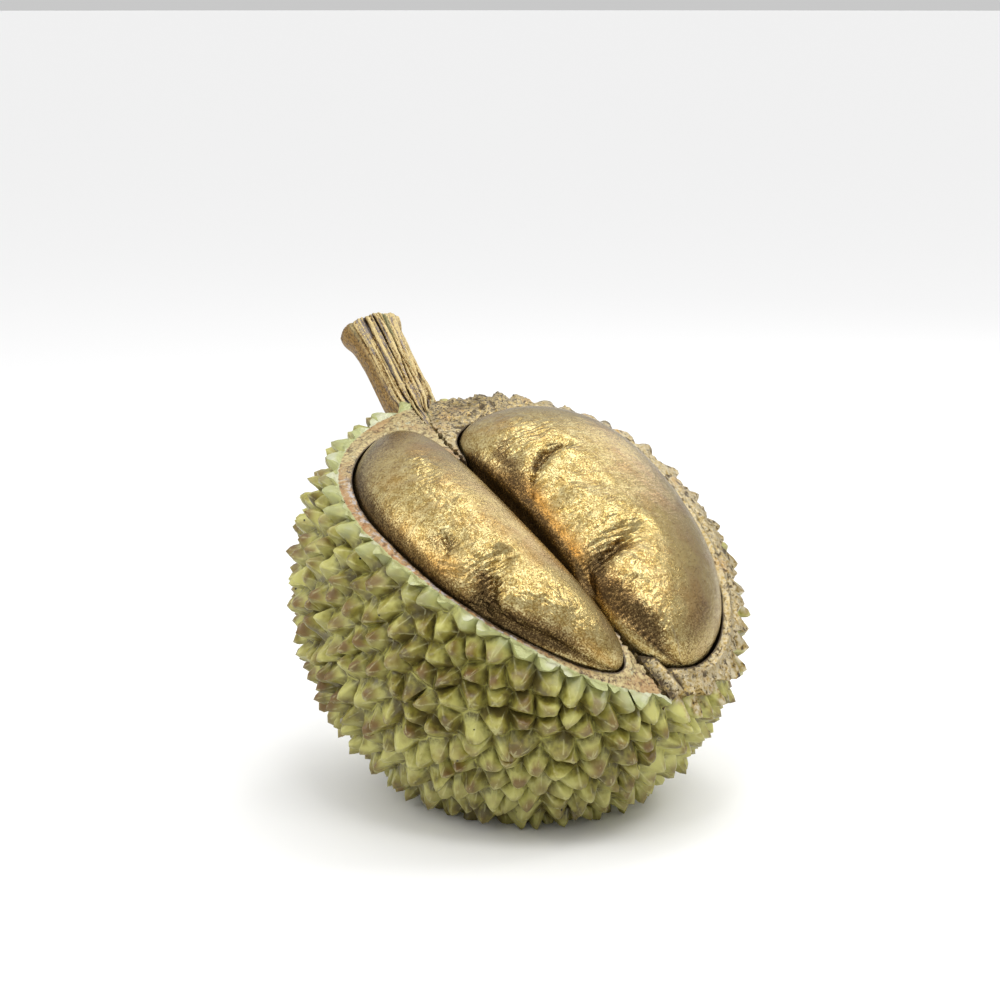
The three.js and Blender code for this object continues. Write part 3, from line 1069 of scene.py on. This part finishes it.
CRUMPLED = crumpled_tree()
grow(block, CRUMPLED, {
    "Wave Size": 0.012, "Wave Height": 0.004, "Fold Size": 0.004, "Fold Height": -0.001,
    "Grain Size": 0.0024, "Grain Height": 0.0022, "Seed": 3.0, "Coat": CUT_FACE,
})
print("cut block roughened")

# %% [markdown]
# ### Hollows, stem hole and crack
# A pod is a stack of rings along a bowed middle line: low above the cut face, and deep below it. The
# tools that carve the hollows are the pods themselves, grown by a small gap, so a thin dark line runs
# round each pod.

# %% Pods from rings
HOLLOW_GAP = 1.3
TOUCH_GAP = 0.3
HOLLOW_GRID = (90, 70, 40)


def pod_rings(pod, rings, top_sides, under_sides, gap=0.0, sink=0.0):
    turn = np.linspace(-math.pi / 2, math.pi / 2, rings + 2)[1:-1]
    along = np.sin(turn)[:, None]
    over = np.linspace(0, math.pi, top_sides, endpoint=False)
    under = np.linspace(math.pi, 2 * math.pi, under_sides, endpoint=False)
    angle = np.concatenate((over, under))[None, :]
    girth = pod_girth(pod, along)
    x = pod_middle(pod, along) + (pod["half_width"] + gap) * girth * np.cos(angle)
    y = pod["y"] + (pod["half_length"] + gap) * along + 0 * angle
    height = np.where(np.sin(angle) > 0, pod["rise"] + gap, pod["depth"] + sink)
    z = cut_height(x, y) + height * girth * np.sin(angle)
    poles = []
    for end in (-1, 1):
        pole_x = pod_middle(pod, end)
        pole_y = pod["y"] + end * (pod["half_length"] + gap)
        poles.append((pole_x, pole_y, cut_height(pole_x, pole_y)))
    return np.stack((x, y, z), axis=-1), poles, np.degrees(angle) + 0 * along


def hollow_tool(side):
    rings, poles, _ = pod_rings(PODS[side], *HOLLOW_GRID, HOLLOW_GAP, TOUCH_GAP)
    return ring_piece("hollow_" + side, rings, *poles, CUT_FACE)


hollow_left = hollow_tool("left")
hollow_right = hollow_tool("right")
print("tools:", hollow_left.name, hollow_right.name)

# %% [markdown]
# The stem is a stack of rings too. They stand on a smooth curve through six places, with a radius for
# each. Grown by a hair, the same rings make the tool for the hole that the stem is rooted in.

# %% The stem's rings
STEM_LINE = np.array([
    (-13, 66, 31), (-6, 80, 24.5), (0, 93, 18.5), (2, 106, 17.5), (1.5, 127, 24), (0.5, 146.5, 30),
])
STEM_RADII = (1.5, 5.5, 10, 11.2, 10.9, 12.6)
STEM_HOLE_GRID = (60, 48)


def stem_curve(part):
    last = len(STEM_LINE) - 1
    stage = np.clip(np.floor(part * last).astype(int), 0, last - 1)
    share = (part * last - stage)[:, None]
    before = 2 * STEM_LINE[0] - STEM_LINE[1]
    after = 2 * STEM_LINE[-1] - STEM_LINE[-2]
    knots = np.vstack((before, STEM_LINE, after))
    a, b, c, d = (knots[stage + k] for k in range(4))

    def gap(p, q):
        return np.sqrt(np.linalg.norm(q - p, axis=1, keepdims=True))

    ab, bc, cd = gap(a, b), gap(b, c), gap(c, d)
    start = ((b - a) / ab - (c - a) / (ab + bc) + (c - b) / bc) * bc
    end = ((c - b) / bc - (d - b) / (bc + cd) + (d - c) / cd) * bc
    cubic = 2 * b - 2 * c + start + end
    square = -3 * b + 3 * c - 2 * start - end
    return ((cubic * share + square) * share + start) * share + b


def stem_rings(stages, sides, grow_by=0.0, shape=None):
    part = np.linspace(0, 1, stages)
    centre = stem_curve(part)
    ahead = unit(np.gradient(centre, axis=0))
    side = np.array((1.0, 0, 0))
    front = unit(np.cross(side, ahead))
    radius = np.interp(part * (len(STEM_RADII) - 1), range(len(STEM_RADII)), STEM_RADII)
    angle = np.arange(sides) * 2 * math.pi / sides
    reach = radius[:, None] + grow_by + 0 * angle
    if shape is not None:
        reach = shape(reach, part[:, None], angle[None, :])
    across = np.cos(angle)[None, :, None] * side
    outward = across + np.sin(angle)[None, :, None] * front[:, None, :]
    return centre[:, None, :] + outward * reach[..., None], centre, ahead


def stem_tool():
    rings, centre, ahead = stem_rings(*STEM_HOLE_GRID, TOUCH_GAP)
    return ring_piece("stem_hole", rings, centre[0] - ahead[0], centre[-1] + ahead[-1], CUT_FACE)


stem_hole = stem_tool()
print("tool:", stem_hole.name)

# %% [markdown]
# The crack is a thin wedge along a curve, a little uneven. It opens at both ends of the partition, so
# there are two of it.

# %% The crack
SEAM_STEPS = 70
SEAM_DEPTH = 9.0
SEAM_REACHES = ((38, 112, 0.9), (-112, -66, 1.7))
SEAM_ABOVE = 6.0


def seam_tool(start, end, half_width):
    y = np.linspace(start, end, SEAM_STEPS)
    middle = seam_line(y) + 0.45 * np.sin(y * 1.3) + 0.35 * np.sin(y * 2.9 + 1)
    wide = half_width * (1 + 0.28 * np.sin(y * 0.9 + 2) + 0.2 * np.sin(y * 2.3))
    top = cut_height(seam_line(y), y) + SEAM_ABOVE
    foot = top - SEAM_ABOVE - SEAM_DEPTH
    corners = [(middle + wide * 1.6, top), (middle - wide * 1.6, top)]
    corners += [(middle - wide * 0.2, foot), (middle + wide * 0.2, foot)]
    rings = np.stack([np.stack((x, y, z), axis=-1) for x, z in corners], axis=1)
    return ring_piece("crack", rings, rings[0].mean(axis=0), rings[-1].mean(axis=0), CUT_FACE)


upper_crack, lower_crack = (seam_tool(*reach) for reach in SEAM_REACHES)
print("tools:", upper_crack.name, lower_crack.name)

# %% [markdown]
# ### Cutting the husk and the pith
# The husk loses the pith's egg, the slice over the cut, the flat resting spot, the stem hole and the
# crack. The pith is the egg less the same slice, the hollows, the hole and the crack. The new faces of
# a cut take the finish of the tool, so the rim is gilded by the knife that cut it. The husk then loses
# a fifth of its triangles where nobody misses them.

# %% Husk and pith
PITH_HALF = np.array((169.6, 182.0, 167.0)) / 2
PITH_LIFT = 6.0
SKIN_GAP = 0.02
HUSK_SHARE = 0.8
EDGE_ANGLE = math.radians(52)
HOLLOW_SHADE = 0.4
STEM_PITS_SHADE = 0.22
GROOVE_SHADE = 0.42
NO_RELIEF = 0.02


def egg(name, grow_by, rings=60, sides=96):
    turn = np.linspace(-math.pi / 2, math.pi / 2, rings + 2)[1:-1, None]
    angle = (np.arange(sides) * 2 * math.pi / sides)[None, :]
    ball = np.stack((
        np.cos(turn) * np.cos(angle), np.sin(turn) + 0 * angle, np.cos(turn) * np.sin(angle)
    ), axis=-1)
    half = PITH_HALF + grow_by
    middle = np.array((0, 0, PITH_LIFT))
    end = np.array((0, half[1], 0))
    return ring_piece(name, ball * half + middle, middle - end, middle + end, CUT_FACE)


def rest_block():
    shape = bmesh.new()
    bmesh.ops.create_cube(shape, size=1)
    bmesh.ops.translate(shape, verts=shape.verts, vec=(0, 0, -0.5))
    return object_from(shape, "rest_block", HUSK_PAINT)


# Painted shade with a dark wash: darker in the gap round each pod, between the pods, down the walls of
# the hollows, at the stem pits and in the partition's grooves.
def pooled_wash(x, y, below, left, right, from_seam):
    nearest = np.minimum(left, right)
    pool = smoothstep(nearest, 2.1, 0.9)
    pool += smoothstep(left + right, 26, 16) * smoothstep(np.abs(y + 9), 57, 43)
    pool += HOLLOW_SHADE * smoothstep(below, 4, 9) * smoothstep(nearest, 8, 3)
    pool += STEM_PITS_SHADE * hill(np.hypot((x - 14) / 1.8, y - 82), 19)
    grooves = hill(from_seam - 2.5, 1.3) + hill(from_seam - 12, 1.5)
    pool += GROOVE_SHADE * grooves * smoothstep(y, -60, -72)
    return np.clip(pool, 0, 1)


def finish_skin(piece):
    mesh = piece.data
    mesh.shade_smooth()
    mesh.set_sharp_from_angle(angle=EDGE_ANGLE)
    points = unplaced(points_of(mesh))
    x, y, z = points.T
    below = cut_height(x, y) - z
    left = outside(PODS["left"], x, y)
    right = outside(PODS["right"], x, y)
    from_seam = x - seam_line(y)
    relief = np.zeros(len(points), np.float32)
    mesh.attributes["relief"].data.foreach_get("value", relief)
    store(
        mesh,
        relief=np.where(relief < NO_RELIEF, 0.5, relief),
        under_cut=below,
        gilded=smoothstep(from_seam, -3, 4),
        tan=np.maximum(smoothstep(y, 38, 62), smoothstep(y, -58, -76)),
        border=smoothstep(beyond_valleys(points), -1.0, 0.9),
        lip=hill(left - 2.6, 1.2),
        pool=pooled_wash(x, y, below, left, right, from_seam),
    )
    print(piece.name, len(mesh.vertices), "points,", len(mesh.polygons), "faces")


inside = egg("inside_of_husk", 0.0)
rest = rest_block()
shared_tools = (stem_hole, upper_crack, lower_crack)
for tool in (block, inside, rest, *shared_tools):
    cut_away(husk, tool)
keep_largest(husk)
thin_out(husk, HUSK_SHARE)
finish_skin(husk)

pith = egg("pith_wall", -SKIN_GAP, rings=70, sides=120)
for tool in (block, hollow_left, hollow_right, *shared_tools):
    cut_away(pith, tool)
keep_largest(pith)
finish_skin(pith)

for tool in (block, inside, rest, hollow_left, hollow_right, *shared_tools):
    bpy.data.objects.remove(tool)

# %% [markdown]
# ## The two pods
# Each pod is a long egg whose middle line bows. The lobes, creases and dents are marks on that egg:
# a mark is a short line on the skin, given by its places along the pod and round it, with a width and
# a depth. The same kind of mark says where the leaf is crumpled, glowing or darkened by a wash that is
# also painted shade, and where a painted reflection lies on it, so the colours sit exactly on the
# forms.
# Places come from the photograph, as real sizes on the pod.

# %% Marks on a pod
DEGREE = 0.62


def near_line(y, angle, line, width):
    place = np.stack((y, angle * DEGREE), axis=-1)
    line = np.array(line, float) * (1, DEGREE)
    nearest = np.full(y.shape, np.inf)
    if len(line) == 1:
        nearest = np.linalg.norm(place - line[0], axis=-1)
    for start, end in zip(line[:-1], line[1:]):
        stretch = end - start
        share = ((place - start) @ stretch) / (stretch @ stretch)
        foot = start + np.clip(share, 0, 1)[..., None] * stretch
        nearest = np.minimum(nearest, np.linalg.norm(place - foot, axis=-1))
    return np.exp(-(nearest / width) ** 2)


def total(y, angle, marks):
    result = np.zeros(y.shape)
    for line, width, amount in marks:
        result += amount * near_line(y, angle, line, width)
    return result


# In the marks below, the dark lines are a wash that also paints shade along the pods' lower edges, in
# the creases and on the lower flanks, and the khaki band along the upper flank is a painted reflection.
LEFT_MARKS = {
    "press": [
        ([(-31, 100), (-36, 122), (-40, 142), (-43, 160), (-44, 178)], 4.2, -3.6),
        ([(-38, 128), (-43, 146), (-45, 156)], 1.3, -1.8),
        ([(-34, 132), (-39, 150), (-41, 168)], 1.0, -0.8),
        ([(-29, 126), (-34, 142), (-37, 158)], 1.1, -0.6),
        ([(-14.7, 134)], 5.0, -2.2),
        ([(-10, 130), (-16, 136), (-20, 146)], 1.2, -1.0),
        ([(-24, 120), (-25, 140)], 5, 0.8),
        ([(-55, 168), (-66, 160)], 9, -2.2),
        ([(-50, 128), (-56, 106)], 7, 1.0),
        ([(29, 100), (33, 104)], 6, 0.5),
    ],
    "ripple": [
        ([(-32, 118), (-38, 140), (-42, 166)], 6.5, 0.7), ([(-12, 128), (-17, 142)], 4.5, 0.45),
        ([(30, 96), (12, 104)], 6, 0.16),
    ],
    "crumple": [
        ([(33, 104), (30, 98)], 9, 0.8),
        ([(14, 108), (-20, 116), (-33, 120), (-52, 128), (-60, 104)], 13, 1.0),
        ([(-20, 150), (-44, 160)], 12, 0.7),
    ],
    "glow": [
        ([(-22, 162), (-25, 150)], 8, 0.5), ([(5, 165), (-15, 166)], 10, 0.35), ([(-76, 120)], 9, 0.4),
    ],
    "wash_and_shade": [
        ([(45, 170), (10, 172), (-20, 176), (-45, 178)], 9, 0.75),
        ([(-36, 136), (-41, 152), (-44, 172)], 4, 0.8),
        ([(-14.7, 134), (-12, 141)], 4, 0.5),
        ([(-57, 172), (-70, 160)], 9, 0.9),
        ([(-50, 160), (-60, 148), (-68, 138)], 6.5, 0.62),
        ([(62, 90), (56, 150)], 12, 0.4),
    ],
    "mirrored_band": [
        ([(60, 60), (20, 62), (-20, 60), (-60, 62)], 20, 1.1),
        ([(60, 90), (50, 130)], 16, 0.9),
    ],
}
RIGHT_MARKS = {
    "press": [
        ([(22.2, 104), (22.5, 116), (16.3, 134)], 3.0, -2.4), ([(12, 144), (4, 160)], 3.4, -1.8),
        ([(22.2, 106), (22.0, 118), (16.0, 134), (11, 146)], 1.0, -2.2),
        ([(16, 108), (14, 122), (9, 138)], 3.2, 1.0),
        ([(-31, 100), (-34, 119), (-37.4, 137), (-38, 154), (-43, 168)], 4.6, -3.6),
        ([(-32, 108), (-35.4, 124), (-38, 140)], 1.3, -1.6),
        ([(-27, 108), (-29, 122), (-31, 136), (-33, 150)], 1.1, -0.9),
        ([(-23, 112), (-25, 126), (-26, 140)], 1.2, -0.6),
        ([(-62, 148), (-74, 138)], 6, -1.6),
        ([(-66, 120), (-76, 112)], 4, 1.0),
        ([(30, 143)], 5, -1.0),
        ([(-10, 118), (-16, 112)], 8, 0.8),
        ([(0, 112), (10, 106)], 6, -0.7),
    ],
    "ripple": [
        ([(-29, 108), (-35, 136), (-38, 152)], 5, 0.55), ([(21, 108), (12, 144)], 5, 0.5),
        ([(34, 112), (30, 140)], 5, 0.2), ([(0, 108), (-14, 112)], 7, 0.14),
        ([(-62, 146), (-72, 140)], 6, 0.3),
    ],
    "crumple": [
        ([(36, 120), (30, 145)], 14, 0.8),
        ([(10, 112), (-14, 116), (-28, 122)], 14, 0.8),
        ([(4, 150), (-30, 148)], 12, 0.7),
        ([(-44, 125), (-56, 135), (-70, 120)], 12, 0.9),
    ],
    "glow": [
        ([(22, 168), (6, 160)], 8, 0.5),
        ([(4, 158), (-12, 160), (-30, 158)], 7, 1.0),
        ([(-46, 160), (-56, 158)], 8, 0.8),
        ([(-52, 140), (-60, 146)], 6, 0.4),
    ],
    "wash_and_shade": [
        ([(36, 176), (10, 174), (-20, 176), (-50, 178)], 7, 1.2),
        ([(24, 150), (12, 158)], 6, 0.7),
        ([(22.2, 108), (20, 124), (15, 137)], 2.0, 0.75),
        ([(-34, 116), (-37.4, 137), (-40, 155)], 3.2, 0.7),
        ([(-60, 150), (-74, 142)], 7, 0.9),
        ([(-50, 152), (-60, 138), (-69, 130)], 7, 0.75),
        ([(35, 138), (31, 150)], 3, 0.5), ([(-38, 146), (-50, 150)], 8, 0.4),
        ([(10, 167), (-14, 169), (-34, 166)], 5, 0.4),
        ([(-66, 60), (-74, 80)], 7, 0.35),
    ],
    "mirrored_band": [
        ([(50, 52), (10, 55), (-30, 55), (-66, 62)], 21, 1.15),
        ([(58, 70), (54, 120)], 12, 0.6),
    ],
}

# %% [markdown]
# The marks press into the skin along its own normal, which is worked out from the grid of rings. The
# presses fade away under the pod, where nobody sees them. Then the same crumpling tree that roughened
# the rim makes the leaf, finer here and strongest where `crumple` says so.

# %% The pods
POD_RINGS = 330
POD_TOP_SIDES = 180
POD_UNDER_SIDES = 44
RIPPLE = 2 * math.pi / 2.1
STRETCH = 0.42
MARK_LIMITS = {"crumple": 1.2, "mirrored_band": 1.2, "glow": 1.0, "wash_and_shade": 0.86}
SLANT = 0.12
POD_SEEDS = {"left": 4.0, "right": 5.0}
UPPER_STARTS = (2, 12)
UPPER_ENDS = (204, 190)
SMOOTH_ROUGHNESS = 0.12
POLE_ROUGHNESS = 0.1


def ring_normals(rings):
    along = np.gradient(rings, axis=0)
    around = np.roll(rings, -1, axis=1) - np.roll(rings, 1, axis=1)
    return unit(np.cross(along, around))


def dressed_pod(side, marks):
    rings, poles, angle = pod_rings(PODS[side], POD_RINGS, POD_TOP_SIDES, POD_UNDER_SIDES)
    y = rings[..., 1]
    upper = smoothstep(angle, *UPPER_STARTS) * smoothstep(angle, *UPPER_ENDS)
    press = total(y, angle, marks["press"])
    press += total(y, angle, marks["ripple"]) * np.sin(RIPPLE * y + 0.07 * angle + np.sin(0.5 * y))
    rings = rings + ring_normals(rings) * (press * upper)[..., None]
    pod = ring_piece("pod_" + side + "_leaf", rings, *poles)
    skin = np.stack((y + SLANT * angle, angle * DEGREE * STRETCH, 0 * y), axis=-1).reshape(-1, 3)
    store(pod.data, skin_place=with_poles(skin * MM, (0, 0, 0)))
    for name, limit in MARK_LIMITS.items():
        values = np.clip(total(y, angle, marks[name]), 0, limit)
        store(pod.data, **{name: with_poles(values.ravel(), 0)})
    crumple = np.clip(total(y, angle, marks["crumple"]), 0, 1) * upper
    rough = SMOOTH_ROUGHNESS + (1 - SMOOTH_ROUGHNESS) * crumple.ravel()
    store(pod.data, rough=with_poles(rough, POLE_ROUGHNESS))
    mesh = grow(pod, CRUMPLED, {
        "Wave Size": 0.013, "Wave Height": 0.0035, "Fold Size": 0.0028, "Fold Height": 0.0006,
        "Grain Size": 0.0012, "Grain Height": 0.0006, "Seed": POD_SEEDS[side], "Coat": GOLD_LEAF,
    })
    mesh.shade_smooth()
    print(pod.name, len(mesh.vertices), "points")
    return pod


left_pod = dressed_pod("left", LEFT_MARKS)
right_pod = dressed_pod("right", RIGHT_MARKS)

# %% [markdown]
# ## The stem
# The stalk was torn, not cut, so its front is all splinters that run with the grain, and its left side
# still has bark. The rings get deep grooves from a few waves that drift along the stem, and a ragged,
# slightly dished end. That gives one closed skin.

# %% The stem's skin
STEM_STAGES = 280
STEM_SIDES = 260
STEM_SEED = 7
CRACK_COUNTS = (4, 7, 11)
FIBRE_COUNTS = (17, 26, 37, 52)
STEM_END_RAGGED = 1.1
STEM_LENGTH = 110.0
STEM_HALF_WIDTH = 11.0
GRAIN_SQUEEZE = 0.11
SKIN_LEVEL = 0.78
FIBRE_HEIGHT = 0.12
CRACK_DEPTH = 0.55
CRACK_WIDTH = 0.3
CAP_SHARES = np.linspace(0.93, 0.1, 12)
CAP_DISH = 1.6
CAP_CENTRE_DROP = 2.2
CAP_RELIEF = 0.85
SPLINTER_RELIEF = 0.72


def torn_side(angle):
    return smoothstep(np.sin(angle + 0.45), -0.3, 0.1)


def grain_waves(draws, counts, part, angle):
    height = 0
    for count in counts:
        start, sway, pace = draws.uniform(0, 6.3), draws.uniform(0.3, 1.0), draws.uniform(3, 10)
        height = height + np.sin(count * angle + start + sway * np.sin(pace * part + start))
    return height


def groove_height(part, angle):
    draws = np.random.default_rng(STEM_SEED)
    cracks = grain_waves(draws, CRACK_COUNTS, part, angle)
    fibres = grain_waves(draws, FIBRE_COUNTS, part, angle)
    return np.clip(SKIN_LEVEL + FIBRE_HEIGHT * fibres - CRACK_DEPTH * hill(cracks, CRACK_WIDTH), 0, 1)


def grooved(reach, part, angle):
    torn = torn_side(angle)
    deep = 0.2 + 1.8 * torn * smoothstep(part, 0.1, 0.4)
    knob = hill(angle - 0.35, 0.4) + hill(angle - 0.35 - 2 * math.pi, 0.4)
    lip = 1.7 * smoothstep(part, 0.9, 0.97) * np.maximum(1 - torn, knob)
    rounding = 1.3 * smoothstep(part, 0.982, 1.0)
    return reach + deep * (groove_height(part, angle) - SKIN_LEVEL) + lip - rounding


def torn_stem():
    rings, centre, ahead = stem_rings(STEM_STAGES, STEM_SIDES, 0.0, grooved)
    part = np.linspace(0, 1, STEM_STAGES)[:, None]
    angle = (np.arange(STEM_SIDES) * 2 * math.pi / STEM_SIDES)[None, :]
    fray = np.sin(3 * angle + 0.6) + 0.6 * np.sin(8 * angle) + 0.4 * np.sin(19 * angle + 2)
    jag = STEM_END_RAGGED * (fray / 2 - 1) * torn_side(angle) - 0.6
    rings += ahead[-1] * (smoothstep(part, 0.9, 1.0) * jag)[..., None]
    caps = []
    for share in CAP_SHARES:
        cap = centre[-1] + (rings[-1] - centre[-1]) * share
        drop = CAP_DISH * (1 - share) + 0.35 * np.sin(11 * angle[0] + 14 * share)
        caps.append(cap - ahead[-1] * drop[:, None])
    relief = groove_height(part, angle) + 0 * part
    rings = np.concatenate((rings, np.array(caps)))
    relief = np.concatenate((relief, np.repeat(relief[-1:] * CAP_RELIEF, len(caps), axis=0)))
    bark = np.broadcast_to(1 - torn_side(angle), relief.shape)
    tip = centre[-1] - ahead[-1] * CAP_CENTRE_DROP
    stem = ring_piece("split_stem", rings, centre[0], tip)
    along = np.append(part[:, 0], np.full(len(caps), 1.0))[:, None]
    width = np.append(np.ones(STEM_STAGES), CAP_SHARES)[:, None] * STEM_HALF_WIDTH
    skin = np.stack((
        width * np.cos(angle), width * np.sin(angle), along * STEM_LENGTH * GRAIN_SQUEEZE + 0 * angle
    ), axis=-1).reshape(-1, 3)
    woody = torn_side(angle) * smoothstep(along, 0.45, 0.55) * smoothstep(along, 0.9, 0.86)
    store(
        stem.data,
        grain_height=with_poles(relief.ravel(), 0.5),
        bark=with_poles(bark.ravel(), 0),
        skin_place=with_poles(skin * MM, (0, 0, 0)),
        woody=with_poles(woody.ravel(), 0),
    )
    way = placed(centre[-1:] + ahead[-1:] * 10) - placed(centre[-1:])
    return stem, unit(way)[0]


stem, grain_way = torn_stem()
print("stem:", len(stem.data.vertices), "points")

# %% [markdown]
# The last tree first roughens the stem's skin. It then scatters points over the torn side and lays a
# loose splinter on each: a thin cone that points along the grain, of any length and thickness within
# a range.

# %% Geometry Nodes: splinters along the grain
def splinter_tree(way):
    group, tree, inputs = geometry_tree("Splinters", {
        "Spacing": 0.003, "Length": 0.007, "Thickness": 0.0003, "Lump Size": 0.0018,
        "Lump Height": 0.0014, "Seed": 5, "Coat": None,
    })
    skin_place = tree.stored("skin_place", "FLOAT_VECTOR")
    normal = tree.add("GeometryNodeInputNormal")
    grain = tree.stored("grain_height")
    woody = tree.stored("woody")
    lump_scale = tree.maths("DIVIDE", 1.0, inputs["Lump Size"])
    lumps = tree.maths("SUBTRACT", tree.noise(skin_place, lump_scale, 3, 0.6), 0.5)
    move = tree.times(lumps, inputs["Lump Height"])
    rough = tree.moved(inputs["Geometry"], normal, move)
    relief = tree.times_plus(lumps, 0.7, grain)
    skin = tree.with_stored(rough, "relief", relief)
    chosen = tree.maths("GREATER_THAN", woody, 0.6)
    spots = tree.node(
        "GeometryNodeDistributePointsOnFaces",
        {
            "Mesh": skin, "Distance Min": inputs["Spacing"], "Density Max": 400000.0,
            "Selection": chosen, "Seed": inputs["Seed"],
        },
        distribute_method="POISSON",
    )
    strand = tree.node(
        "GeometryNodeMeshCone",
        {
            "Vertices": 7, "Side Segments": 5, "Fill Segments": 1,
            "Radius Top": 0.12, "Radius Bottom": 0.5, "Depth": 1.0,
        },
    ).outputs["Mesh"]
    size = tree.add("ShaderNodeCombineXYZ", {
        "X": inputs["Thickness"], "Y": inputs["Thickness"], "Z": inputs["Length"],
    })
    sizes = {"Min": (0.7, 0.5, 0.4), "Max": (2.2, 1.2, 1.3), "Seed": inputs["Seed"]}
    vary = tree.add("FunctionNodeRandomValue", sizes, data_type="FLOAT_VECTOR")
    aligned = tree.add("FunctionNodeAlignRotationToVector", {"Vector": tuple(way)}, axis="Z")
    strands = tree.add("GeometryNodeInstanceOnPoints", {
        "Points": spots.outputs["Points"], "Instance": strand, "Rotation": aligned,
        "Scale": tree.vector("MULTIPLY", size, vary),
    })
    pale = tree.with_stored(strands, "relief", SPLINTER_RELIEF, "INSTANCE")
    joined = tree.node("GeometryNodeJoinGeometry")
    tree.tree.links.new(skin, joined.inputs[0])
    tree.tree.links.new(pale, joined.inputs[0])
    end_tree(tree, joined.outputs[0], inputs["Coat"])
    return group


grow(stem, splinter_tree(grain_way), {"Coat": SPLIT_WOOD})
stem.data.shade_smooth()
stem.data.set_sharp_from_angle(angle=EDGE_ANGLE)
print("stem with splinters:", len(stem.data.polygons), "faces")

# %% [markdown]
# ## Onto the frame
# Each finished piece stands for one solid, whose bare part is hidden, and rides on the only body.

# %% Every piece onto the frame
DRESSED = (
    (husk, "husk", "husk"), (pith, "pith", "pith"), (left_pod, "pod_left", "pod"),
    (right_pod, "pod_right", "pod"), (stem, "stem", "stem"),
)
for piece, node, slot in DRESSED:
    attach(piece, "root")
    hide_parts(node)
    print(piece.name, "stands for", node)
